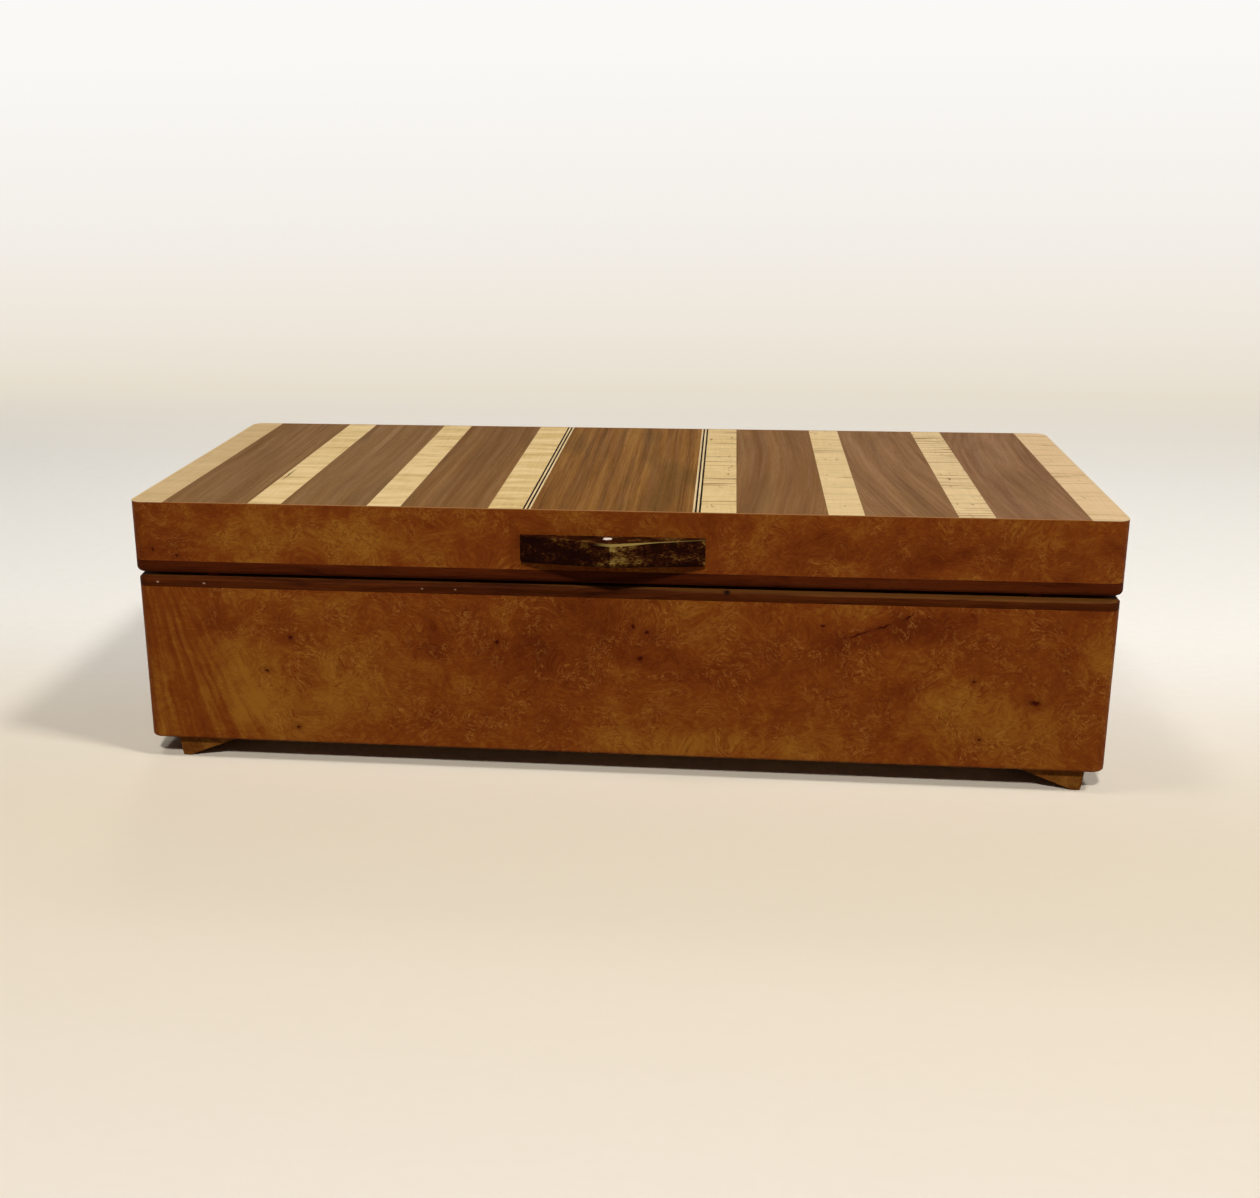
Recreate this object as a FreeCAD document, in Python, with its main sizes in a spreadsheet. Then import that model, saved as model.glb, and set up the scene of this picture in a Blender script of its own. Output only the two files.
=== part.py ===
"""A low keepsake box with a hinged, strip-veneered lid, modelled piece by piece.

X runs along the box, +Y points to its back and +Z up. The origin is on the surface that
the feet stand on, under the middle of the whole box, handle included.
"""
import FreeCAD, Part
import math
import os
import re

import Sketcher

# Driving dimensions in millimetres and degrees, with what each one measures.
SIZES = {
    "lid_width": (300.0, "length of the lid along X"),
    "lid_depth": (130.0, "front face to back face of the lid"),
    "lid_height": (22.8, "top of the lid to its lower rim"),
    "case_height": (54.6, "underside of the case to its upper rim"),
    "seam_gap": (1.1, "open seam between the two rims"),
    "foot_height": (7.0, "height of a foot under the case"),
    "overhang": (0.4, "how far the lid stands out past the case all round"),
    "wall": (10.0, "thickness of the lid's boards"),
    "corner_radius": (4.0, "rounding of the upright corners"),
    "lid_lip_height": (4.0, "height of the dark lip under the lid's boards"),
    "lid_lip_round": (1.4, "rounding of the lid lip's lower outer edge"),
    "case_lip_height": (3.5, "height of the dark lip on the case's boards"),
    "case_lip_chamfer": (1.2, "bevel on the case lip's upper outer edge"),
    "case_arris": (0.8, "rounding of the case boards' lower outer edge"),
    "bottom_thickness": (5.0, "thickness of the case bottom"),
    "panel_thickness": (5.0, "thickness of the panel under the strips"),
    "strip_thickness": (0.8, "thickness of the maple and walnut strips"),
    "rim_skin": (0.5, "edge of the boards that shows beside the strips"),
    "maple_width": (10.5, "width of an inner maple strip"),
    "end_maple_width": (11.15, "width of the maple strip at each end, edge of the board included"),
    "centre_width": (48.5, "width of the middle walnut strip"),
    "line_width": (0.6, "width of one stringing line"),
    "lining_thickness": (1.2, "thickness of the felt in the case and in the lid"),
    "lining_margin": (0.5, "gap between the felt and the boards"),
    "pad_radius": (3.0, "radius of a closing pad"),
    "pad_clearance": (0.1, "gap between a closing pad and the closed lid"),
    "pad_from_end": (25.0, "middle of a closing pad from the lid's end"),
    "foot_top": (21.0, "length of a foot where it meets the case"),
    "foot_sole": (2.4, "length of a foot's sole, its rounded outer edge included"),
    "foot_round": (0.8, "rounding of a foot's outer edge at the sole"),
    "foot_lean": (1.0, "how far a foot's outer side leans in"),
    "foot_depth": (22.0, "size of a foot from front to back"),
    "foot_setback": (2.6, "foot to the case's front or back face"),
    "left_foot_inset": (8.8, "left feet to the case's left end"),
    "right_foot_inset": (5.4, "right feet to the case's right end"),
    "handle_length": (55.6, "length of the handle along X"),
    "handle_height": (8.7, "height of the handle"),
    "handle_reach": (9.0, "how far the handle's ridge stands out from the lid"),
    "handle_end": (1.5, "how far the handle's ends stand out from the lid"),
    "handle_drop": (7.8, "top of the lid to the top of the handle"),
    "handle_rise": (1.3, "how much higher the handle's underside is at its ridge than at the lid"),
    "handle_offset": (0.5, "middle of the handle to the right of the lid's middle"),
    "handle_round": (1.2, "rounding of the handle's lower front edges"),
    "dot_radius": (1.4, "radius of the handle's inlaid dot"),
    "dot_depth": (2.5, "depth of the inlaid dot"),
    "dot_reach": (3.0, "middle of the dot to the lid's front face"),
    "dot_offset": (1.2, "middle of the dot to the left of the handle's ridge"),
    "dowel_radius": (2.0, "radius of a handle dowel"),
    "dowel_in_handle": (4.0, "length of a dowel inside the handle"),
    "dowel_in_board": (6.5, "length of a dowel inside the lid's front board"),
    "dowel_spread": (10.0, "each dowel to the middle of the handle"),
    "hinge_from_end": (55.0, "middle of each hinge to the lid's nearer end"),
    "hinge_length": (26.0, "length of a hinge along X"),
    "pin_inset": (3.0, "hinge pin's axis to the lid's back face"),
    "pin_radius": (1.0, "radius of a hinge pin"),
    "pin_clearance": (0.05, "running clearance round a hinge pin"),
    "knuckle_radius": (2.0, "outer radius of a hinge knuckle"),
    "knuckle_gap": (0.15, "gap between neighbouring knuckles along the pin"),
    "barrel_clearance": (0.3, "gap between the knuckles and what they turn in"),
    "leaf_thickness": (1.2, "thickness of a hinge leaf"),
    "leaf_gap": (0.3, "gap between the two leaves of a closed hinge"),
    "leaf_reach": (6.2, "hinge pin's axis to the inner edge of a leaf"),
    "screw_reach": (4.4, "hinge pin's axis to a screw"),
    "screw_pitch": (8.5, "distance between screws along a leaf"),
    "screw_radius": (0.8, "radius of a screw's shank"),
    "screw_head_radius": (1.4, "radius of a screw's head"),
    "screw_head_height": (0.8, "height of a screw's countersunk head"),
    "screw_length": (9.0, "length of a screw, head included"),
    "slot_width": (0.4, "width and depth of a screw's slot"),
    "open_angle": (95.0, "how far the lid opens before its bevel meets the case's"),
    "stop_slack": (1.0, "angle left between the two bevels at the end of the travel"),
}

# Levels and planes that several pieces share, as sums of the driving dimensions.
LEFT = "(-lid_width / 2)"
RIGHT = "(lid_width / 2)"
FRONT = "((handle_reach - lid_depth) / 2)"
BACK = "((handle_reach + lid_depth) / 2)"
MIDDLE = "(handle_reach / 2)"
CASE_RIM = "(foot_height + case_height)"
CASE_BOARD_TOP = f"({CASE_RIM} - case_lip_height)"
LID_RIM = f"({CASE_RIM} + seam_gap)"
LID_BOARD_FOOT = f"({LID_RIM} + lid_lip_height)"
LID_TOP = f"({LID_RIM} + lid_height)"
STRIP_SEAT = f"({LID_TOP} - strip_thickness)"
PIN_Y = f"({BACK} - pin_inset)"
PIN_Z = f"({CASE_RIM} + seam_gap / 2)"
HANDLE_TOP = f"({LID_TOP} - handle_drop)"
MITRE_CUT = "(1 - cos(45))"

SIDES = ("front", "right", "back", "left")
HINGES = {"left": f"({LEFT} + hinge_from_end)", "right": f"({RIGHT} - hinge_from_end)"}

# The walnut strips share what the other strips and lines leave of half the lid.
STRINGING = ("white", "black", "white", "black")
STRIP_NUMBERS = {
    "left": {"maple": (4, 3, 2), "walnut": (3, 2, 1), "end": 1},
    "right": {"maple": (5, 6, 7), "walnut": (5, 6, 7), "end": 8},
}
STRIP_PAIRS = len(STRIP_NUMBERS["left"]["walnut"])
WALNUT_WIDTH = (f"((lid_width / 2 - centre_width / 2 - {len(STRINGING)} * line_width"
                f" - {STRIP_PAIRS} * maple_width - end_maple_width) / {STRIP_PAIRS})")

doc = FreeCAD.newDocument("keepsake_box")
sheet = doc.addObject("Spreadsheet::Sheet", "Sizes")
pieces = []


def fill_sheet():
    """Write each driving dimension, its alias and its note into the sheet."""
    for row, (name, (value, note)) in enumerate(SIZES.items(), start=1):
        sheet.set(f"A{row}", name)
        sheet.set(f"B{row}", str(value))
        sheet.setAlias(f"B{row}", name)
        sheet.set(f"C{row}", note)
    doc.recompute()


def in_sheet(formula):
    """Return the formula with each size's name pointed at its cell."""
    return re.sub(r"[a-z_]+", lambda word: f"Sizes.{word[0]}" if word[0] in SIZES else word[0], formula)


def value(formula):
    """Return the number that a formula gives with the present sizes."""
    return float(sheet.evalExpression(in_sheet(formula)))


def bind(thing, settings):
    """Tie properties of an object to formulas of the driving dimensions."""
    for name, formula in settings.items():
        thing.setExpression(name, in_sheet(formula))


def place(thing, corner):
    """Tie an object's position to three formulas."""
    bind(thing, {f"Placement.Base.{axis}": formula for axis, formula in zip("xyz", corner)})


def keep(piece):
    """Count an object as a finished piece of the box."""
    pieces.append(piece)
    return piece


def block(name, low, high):
    """Return a box between two opposite corners."""
    thing = doc.addObject("Part::Box", name)
    place(thing, low)
    bind(thing, {
        "Length": f"({high[0]}) - ({low[0]})",
        "Width": f"({high[1]}) - ({low[1]})",
        "Height": f"({high[2]}) - ({low[2]})",
    })
    return thing


def turn_towards(direction):
    """Return the rotation that takes +Z to a direction."""
    return FreeCAD.Rotation(FreeCAD.Vector(0, 0, 1), FreeCAD.Vector(*direction))


def rod(name, start, direction, radius, length):
    """Return a cylinder from a start point along a direction."""
    thing = doc.addObject("Part::Cylinder", name)
    thing.Placement.Rotation = turn_towards(direction)
    place(thing, start)
    bind(thing, {"Radius": radius, "Height": length})
    return thing


def cone(name, start, direction, first_radius, last_radius, length):
    """Return a cut-off cone from a start point along a direction."""
    thing = doc.addObject("Part::Cone", name)
    thing.Placement.Rotation = turn_towards(direction)
    place(thing, start)
    bind(thing, {"Radius1": first_radius, "Radius2": last_radius, "Height": length})
    return thing


def union(name, things):
    """Return several touching or overlapping things as one solid."""
    thing = doc.addObject("Part::MultiFuse", name)
    thing.Shapes = things
    return thing


def group(name, things):
    """Return several separate solids as one object."""
    thing = doc.addObject("Part::Compound", name)
    thing.Links = things
    return thing


def cut(name, base, tools):
    """Return the base with every tool taken away from it."""
    for number, tool in enumerate(tools, start=1):
        last = number == len(tools)
        thing = doc.addObject("Part::Cut", name if last else f"{name}_cut_{number}")
        thing.Base = base
        thing.Tool = tool
        base = thing
    return base


def outline(body, name, role, height, corners):
    """Draw a closed outline on one of the body's planes and tie each corner to its formulas.

    Corners run anticlockwise, each as (x, y, centre). A centre is None where the edge to the
    next corner is straight, and the (x, y) that the edge turns about where it is an arc.
    """
    sketch = body.newObject("Sketcher::SketchObject", name)
    plane = next(part for part in body.Origin.OriginFeatures if part.Role == role)
    sketch.AttachmentSupport = [(plane, "")]
    sketch.MapMode = "FlatFace"
    bind(sketch, {"AttachmentOffset.Base.z": height})
    points = [FreeCAD.Vector(value(x), value(y), 0) for x, y, _ in corners]
    for index, (_, _, centre) in enumerate(corners):
        start, end = points[index], points[(index + 1) % len(points)]
        if centre is None:
            sketch.addGeometry(Part.LineSegment(start, end))
            continue
        middle = FreeCAD.Vector(value(centre[0]), value(centre[1]), 0)
        circle = Part.Circle(middle, FreeCAD.Vector(0, 0, 1), (start - middle).Length)
        angles = [math.atan2(point.y - middle.y, point.x - middle.x) for point in (start, end)]
        sketch.addGeometry(Part.ArcOfCircle(circle, *angles))
    for index, (x, y, centre) in enumerate(corners):
        following = (index + 1) % len(corners)
        sketch.addConstraint(Sketcher.Constraint("Coincident", index, 2, following, 1))
        measures = [("DistanceX", 1, x), ("DistanceY", 1, y)]
        if centre is not None:
            measures.append(("DistanceX", 3, centre[0]))
        for kind, point, formula in measures:
            number = sketch.addConstraint(
                Sketcher.Constraint(kind, -1, 1, index, point, value(formula)))
            bind(sketch, {f"Constraints[{number}]": formula})
    return sketch


def pad(body, sketch, length, both_ways=False):
    """Raise an outline into a solid."""
    feature = body.newObject("PartDesign::Pad", f"{sketch.Name}_pad")
    feature.Profile = sketch
    feature.Midplane = both_ways
    bind(feature, {"Length": length})
    doc.recompute()
    return feature


def pocket(body, sketch, length):
    """Cut an outline out of a solid, half of the length to each side of its plane."""
    feature = body.newObject("PartDesign::Pocket", f"{sketch.Name}_pocket")
    feature.Profile = sketch
    feature.Midplane = True
    bind(feature, {"Length": length})
    doc.recompute()
    return feature


def soften(body, feature, kind, size, wanted):
    """Round or bevel the edges of a feature whose middle passes a test."""
    names = [f"Edge{number}" for number, edge in enumerate(feature.Shape.Edges, start=1)
             if wanted(edge.valueAt((edge.FirstParameter + edge.LastParameter) / 2))]
    softened = body.newObject(f"PartDesign::{kind}", f"{feature.Name}_{kind.lower()}")
    softened.Base = (feature, names)
    bind(softened, {"Radius" if kind == "Fillet" else "Size": size})
    doc.recompute()
    return softened


class Frame:
    """Four mitred boards or lips round the box, between the outer faces of the case or lid."""

    def __init__(self, inset):
        self.inset = inset
        self.spans = {
            "front": f"(lid_width / 2 - {inset})",
            "right": f"(lid_depth / 2 - {inset})",
            "back": f"(lid_width / 2 - {inset})",
            "left": f"(lid_depth / 2 - {inset})",
        }

    def at(self, side, along, inward):
        """Return x and y of a point, from the middle of a side's outer face."""
        return {
            "front": (f"{along}", f"{FRONT} + {self.inset} + {inward}"),
            "right": (f"{RIGHT} - {self.inset} - {inward}", f"{MIDDLE} + {along}"),
            "back": (f"-{along}", f"{BACK} - {self.inset} - {inward}"),
            "left": (f"{LEFT} + {self.inset} + {inward}", f"{MIDDLE} - {along}"),
        }[side]

    def mitred(self, name, side, foot, height):
        """Return the body of one side: mitred ends, and outer corners with half the rounding."""
        span = self.spans[side]
        thickness = f"(wall - {self.inset})"
        round_end = f"({span} - corner_radius)"
        mitre_start = f"({span} - corner_radius * {MITRE_CUT})"
        mitre_depth = f"(corner_radius * {MITRE_CUT})"
        inner_end = f"({span} - {thickness})"
        corners = [
            (*self.at(side, f"(-{round_end})", "0"), None),
            (*self.at(side, round_end, "0"), self.at(side, round_end, "corner_radius")),
            (*self.at(side, mitre_start, mitre_depth), None),
            (*self.at(side, inner_end, thickness), None),
            (*self.at(side, f"(-{inner_end})", thickness), None),
            (*self.at(side, f"(-{mitre_start})", mitre_depth),
             self.at(side, f"(-{round_end})", "corner_radius")),
        ]
        body = doc.addObject("PartDesign::Body", name)
        sketch = outline(body, f"{name}_plan", "XY_Plane", foot, corners)
        pad(body, sketch, height)
        return body

    def is_outer(self, side):
        """Return a test for points on a side's outer face or its half of the corners."""
        centre = value(MIDDLE)
        depth = value(f"corner_radius * {MITRE_CUT}")
        reach = value(f"lid_{'depth' if side in ('front', 'back') else 'width'} / 2 - {self.inset}")
        outward = {
            "front": lambda point: centre - point.y,
            "right": lambda point: point.x,
            "back": lambda point: point.y - centre,
            "left": lambda point: -point.x,
        }[side]
        return lambda point: outward(point) > reach - depth


def rounded_plate(name, inset, radius, foot, height):
    """Return a body of the box's plan, shrunk by an inset, with rounded corners."""
    left, right = f"({LEFT} + {inset})", f"({RIGHT} - {inset})"
    front, back = f"({FRONT} + {inset})", f"({BACK} - {inset})"
    corners = [
        (f"{left} + {radius}", front, None),
        (f"{right} - {radius}", front, (f"{right} - {radius}", f"{front} + {radius}")),
        (right, f"{front} + {radius}", None),
        (right, f"{back} - {radius}", (f"{right} - {radius}", f"{back} - {radius}")),
        (f"{right} - {radius}", back, None),
        (f"{left} + {radius}", back, (f"{left} + {radius}", f"{back} - {radius}")),
        (left, f"{back} - {radius}", None),
        (left, f"{front} + {radius}", (f"{left} + {radius}", f"{front} + {radius}")),
    ]
    body = doc.addObject("PartDesign::Body", name)
    sketch = outline(body, f"{name}_plan", "XY_Plane", foot, corners)
    pad(body, sketch, height)
    return body


def stop_bevel():
    """Return the prism whose two faces meet on the hinge axis and stop the open lid."""
    rise = f"(pin_inset + overhang) * tan((open_angle + stop_slack) / 2)"
    back = f"({PIN_Y} + pin_inset + overhang)"
    body = doc.addObject("PartDesign::Body", "stop_bevel")
    corners = [
        (PIN_Y, PIN_Z, None),
        (back, f"{PIN_Z} - {rise}", None),
        (back, f"{PIN_Z} + {rise}", None),
    ]
    sketch = outline(body, "stop_bevel_profile", "YZ_Plane", "0", corners)
    pad(body, sketch, "2 * lid_width", both_ways=True)
    return body


def build_lips(frame, prefix, foot, height, softening, bevel):
    """Return the four dark lips of the case or the lid, by side, softened on the outer edge.

    The softening is the kind of edge, its size and the level that it runs along.
    """
    kind, size, level = softening
    lips = {}
    for side in SIDES:
        body = frame.mitred(f"{prefix}_{side}_lip_blank", side, foot, height)
        outer = frame.is_outer(side)
        edge_level = value(level)
        if side != "back":
            soften(body, body.Tip, kind, size,
                   lambda point: outer(point) and abs(point.z - edge_level) < 1e-6)
        lips[side] = body
    for side in ("right", "left"):
        lips[side] = cut(f"{prefix}_{side}_lip", lips[side], [bevel])
    lips["front"].Label = f"{prefix}_front_lip"
    return lips


def build_screw(name, x, level, direction):
    """Return a countersunk screw's outside and the screw itself, with its slot."""
    y = f"{PIN_Y} - screw_reach"
    head = cone(f"{name}_head", (x, y, level), direction,
                "screw_head_radius", "screw_radius", "screw_head_height")
    shank = rod(f"{name}_shank", (x, y, level), direction, "screw_radius", "screw_length")
    outside = union(f"{name}_outside", [head, shank])
    low = level if direction[2] > 0 else f"{level} - slot_width"
    high = f"{level} + slot_width" if direction[2] > 0 else level
    slot = block(f"{name}_slot",
                 (f"{x} - screw_head_radius", f"{y} - slot_width / 2", low),
                 (f"{x} + screw_head_radius", f"{y} + slot_width / 2", high))
    return outside, cut(name, outside, [slot])


class Hinge:
    """One butt hinge: a leaf with two outer knuckles on the case and one with the middle one."""

    def __init__(self, side):
        self.name = f"hinge_{side}"
        self.x = HINGES[side]
        third = "(hinge_length / 3)"
        half = "(hinge_length / 2)"
        self.spans = {
            "case": [(f"{self.x} - {half}", f"{self.x} - {half} + {third} - knuckle_gap / 2"),
                     (f"{self.x} + {half} - {third} + knuckle_gap / 2", f"{self.x} + {half}")],
            "lid": [(f"{self.x} - {half} + {third} + knuckle_gap / 2",
                     f"{self.x} + {half} - {third} - knuckle_gap / 2")],
        }
        self.faces = {"case": f"({PIN_Z} - leaf_gap / 2)", "lid": f"({PIN_Z} + leaf_gap / 2)"}
        self.screws = {"case": [], "lid": []}
        self.screw_outsides = {"case": [], "lid": []}
        for part, down in (("case", (0, 0, -1)), ("lid", (0, 0, 1))):
            for number, shift in enumerate(("- screw_pitch", "+ 0", "+ screw_pitch"), start=1):
                outside, screw = build_screw(f"{part}_{self.name}_screw_{number}",
                                             f"({self.x} {shift})", self.faces[part], down)
                self.screws[part].append(screw)
                self.screw_outsides[part].append(outside)

    def plate_levels(self, part):
        """Return the lower and the upper face of a leaf."""
        face = self.faces[part]
        return (f"{face} - leaf_thickness", face) if part == "case" else (face, f"{face} + leaf_thickness")

    def leaf(self, part):
        """Return a whole leaf: flat, tongues, knuckles, pin hole and screw holes."""
        low, high = self.plate_levels(part)
        barrel_edge = f"{PIN_Y} - knuckle_radius - barrel_clearance"
        solids = [block(f"{self.name}_{part}_plate",
                        (f"{self.x} - hinge_length / 2", f"{PIN_Y} - leaf_reach", low),
                        (f"{self.x} + hinge_length / 2", barrel_edge, high))]
        for number, (left, right) in enumerate(self.spans[part], start=1):
            label = f"{self.name}_{part}_{number}"
            solids.append(block(f"{label}_tongue", (left, barrel_edge, low), (right, PIN_Y, high)))
            solids.append(rod(f"{label}_knuckle", (left, PIN_Y, PIN_Z), (1, 0, 0),
                              "knuckle_radius", f"{right} - ({left})"))
        bore_radius = "pin_radius + pin_clearance" if part == "case" else "pin_radius"
        bore = rod(f"{self.name}_{part}_bore", (f"{self.x} - hinge_length / 2", PIN_Y, PIN_Z),
                   (1, 0, 0), bore_radius, "hinge_length")
        whole = union(f"{self.name}_{part}_whole", solids)
        return cut(f"{self.name}_{part}_leaf", whole, [bore, *self.screw_outsides[part]])

    def pin(self):
        """Return the pin that the lid's leaf carries."""
        return rod(f"{self.name}_pin", (f"{self.x} - hinge_length / 2", PIN_Y, PIN_Z),
                   (1, 0, 0), "pin_radius", "hinge_length")

    def barrel_room(self):
        """Return the round space that the knuckles turn in."""
        return rod(f"{self.name}_room",
                   (f"{self.x} - hinge_length / 2 - barrel_clearance", PIN_Y, PIN_Z),
                   (1, 0, 0), "knuckle_radius + barrel_clearance",
                   "hinge_length + 2 * barrel_clearance")

    def recess(self, part):
        """Return what a leaf takes out of the lip that it is screwed to."""
        low, high = self.plate_levels(part)
        return block(f"{self.name}_{part}_recess",
                     (f"{self.x} - hinge_length / 2", f"{PIN_Y} - leaf_reach", low),
                     (f"{self.x} + hinge_length / 2", PIN_Y, high))


def build_hinges(case_back, lid_back, bevel):
    """Fit both hinges: cut the back lips and boards for them and keep leaves, pins and screws."""
    hinges = [Hinge(side) for side in HINGES]
    rooms = [hinge.barrel_room() for hinge in hinges]
    for part, backs in (("case", case_back), ("lid", lid_back)):
        shanks = [outside for hinge in hinges for outside in hinge.screw_outsides[part]]
        recesses = [hinge.recess(part) for hinge in hinges]
        lip_room = union(f"{part}_back_lip_room", [bevel, *rooms, *recesses, *shanks])
        board_room = group(f"{part}_back_board_room", shanks)
        keep(cut(f"{part}_back_lip", backs["lip"], [lip_room]))
        keep(cut(f"{part}_back_board", backs["board"], [board_room]))
        for hinge in hinges:
            keep(hinge.leaf(part))
        keep(group(f"{part}_hinge_screws", [s for hinge in hinges for s in hinge.screws[part]]))
    keep(group("hinge_pins", [hinge.pin() for hinge in hinges]))


def build_foot(end, row):
    """Return a wedge foot: a sloping inner side, a near upright outer side and a narrow sole."""
    if end == "left":
        outer, inward = f"{LEFT} + overhang + left_foot_inset", "+"
    else:
        outer, inward = f"{RIGHT} - overhang - right_foot_inset", "-"
    corners = [
        (f"{outer} {inward} foot_top", "foot_height", None),
        (outer, "foot_height", None),
        (f"{outer} {inward} foot_lean", "0", None),
        (f"{outer} {inward} (foot_lean + foot_sole)", "0", None),
    ]
    if end == "right":
        corners.reverse()
    rear = f"{FRONT} + overhang + foot_setback + foot_depth" if row == "front" else \
        f"{BACK} - overhang - foot_setback"
    name = f"foot_{row}_{end}"
    body = doc.addObject("PartDesign::Body", name)
    sketch = outline(body, f"{name}_profile", "XZ_Plane", f"-({rear})", corners)
    pad(body, sketch, "foot_depth")
    sole_start = value(f"{outer} {inward} foot_lean")
    soften(body, body.Tip, "Fillet", "foot_round",
           lambda point: abs(point.z) < 1e-6 and abs(point.x - sole_start) < 1e-6)
    return body


def build_case(bevel):
    """Keep the case's boards, lips, bottom, feet, lining and pads; return its back pieces."""
    frame = Frame("overhang")
    boards = {}
    board_foot = value("foot_height")
    for side in SIDES:
        name = f"case_{side}_board" if side != "back" else "case_back_board_blank"
        boards[side] = frame.mitred(name, side, "foot_height", "case_height - case_lip_height")
        outer = frame.is_outer(side)
        soften(boards[side], boards[side].Tip, "Fillet", "case_arris",
               lambda point: outer(point) and abs(point.z - board_foot) < 1e-6)
    lips = build_lips(frame, "case", CASE_BOARD_TOP, "case_lip_height",
                      ("Chamfer", "case_lip_chamfer", CASE_RIM), bevel)
    for side in ("front", "right", "left"):
        keep(boards[side])
        keep(lips[side])
    inner_low = (f"{LEFT} + wall", f"{FRONT} + wall")
    inner_high = (f"{RIGHT} - wall", f"{BACK} - wall")
    floor = "foot_height + bottom_thickness"
    keep(block("case_bottom", (*inner_low, "foot_height"), (*inner_high, floor)))
    keep(block("case_lining",
               (*(f"{low} + lining_margin" for low in inner_low), floor),
               (*(f"{high} - lining_margin" for high in inner_high),
                f"{floor} + lining_thickness")))
    for row in ("front", "back"):
        for end in ("left", "right"):
            keep(build_foot(end, row))
    pads = [rod(f"closing_pad_{end}", (x, f"{FRONT} + wall / 2", CASE_RIM), (0, 0, 1),
                "pad_radius", "seam_gap - pad_clearance")
            for end, x in (("left", f"{LEFT} + pad_from_end"), ("right", f"{RIGHT} - pad_from_end"))]
    keep(group("closing_pads", pads))
    return {"lip": lips["back"], "board": boards["back"]}


def build_strips():
    """Keep the strips and stringing lines, from the middle of the lid outwards."""
    field = rounded_plate("strip_field", "rim_skin", "(corner_radius - rim_skin)",
                          STRIP_SEAT, "strip_thickness")

    def strip(name, end, inner, outer):
        """Return a strip between two distances from the lid's middle, towards one end."""
        start, stop = (inner, outer) if end == "right" else (f"-({outer})", f"-({inner})")
        return block(name, (start, f"{FRONT} + rim_skin", STRIP_SEAT),
                     (stop, f"{BACK} - rim_skin", LID_TOP))

    keep(strip("walnut_strip_4", "right", "-centre_width / 2", "centre_width / 2"))
    for end, numbers in STRIP_NUMBERS.items():
        edge = "centre_width / 2"
        lines = {"white": [], "black": []}
        for colour in STRINGING:
            name = f"{colour}_line_{end}_{len(lines[colour]) + 1}"
            lines[colour].append(strip(name, end, edge, f"{edge} + line_width"))
            edge = f"{edge} + line_width"
        for colour, solids in lines.items():
            keep(group(f"{colour}_lines_{end}", solids))
        for maple, walnut in zip(numbers["maple"], numbers["walnut"]):
            keep(strip(f"maple_strip_{maple}", end, edge, f"{edge} + maple_width"))
            edge = f"{edge} + maple_width"
            keep(strip(f"walnut_strip_{walnut}", end, edge, f"{edge} + {WALNUT_WIDTH}"))
            edge = f"{edge} + {WALNUT_WIDTH}"
        name = f"maple_strip_{numbers['end']}"
        last = doc.addObject("Part::Common", name)
        last.Base = strip(f"{name}_blank", end, edge, "lid_width / 2")
        last.Tool = field
        keep(last)


def build_handle(front_board):
    """Keep the handle, its dot and dowels, and the front board with holes for the dowels."""
    body = doc.addObject("PartDesign::Body", "handle_blank")
    left = "(handle_offset - handle_length / 2)"
    right = "(handle_offset + handle_length / 2)"
    corners = [
        (left, FRONT, None),
        (left, f"{FRONT} - handle_end", None),
        ("handle_offset", f"{FRONT} - handle_reach", None),
        (right, f"{FRONT} - handle_end", None),
        (right, FRONT, None),
    ]
    foot = f"({HANDLE_TOP} - handle_height)"
    pad(body, outline(body, "handle_plan", "XY_Plane", foot, corners), "handle_height")
    far = f"{FRONT} - 2 * handle_reach"
    under = [
        (FRONT, foot, None),
        (far, f"{foot} + 2 * handle_rise", None),
        (far, f"{foot} - handle_rise", None),
    ]
    pocket(body, outline(body, "handle_underside", "YZ_Plane", "handle_offset", under),
           "2 * handle_length")
    face, level, slope = value(FRONT), value(foot), value("handle_rise / handle_reach")
    soften(body, body.Tip, "Fillet", "handle_round",
           lambda point: point.y < face - 1e-6 and
           abs(point.z - level - slope * (face - point.y)) < 1e-6)
    middle = f"{HANDLE_TOP} - handle_height / 2"
    dowels = [rod(f"handle_dowel_{end}",
                  (f"handle_offset {sign} dowel_spread", f"{FRONT} - dowel_in_handle", middle),
                  (0, 1, 0), "dowel_radius", "dowel_in_handle + dowel_in_board")
              for end, sign in (("left", "-"), ("right", "+"))]
    dot = rod("handle_inlay_dot",
              ("handle_offset - dot_offset", f"{FRONT} - dot_reach", f"{HANDLE_TOP} - dot_depth"),
              (0, 0, 1), "dot_radius", "dot_depth")
    keep(cut("handle", body, [group("handle_holes", [*dowels, dot])]))
    dowel_pair = keep(group("handle_dowels", dowels))
    keep(dot)
    keep(cut("lid_front_board", front_board, [dowel_pair]))


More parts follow.
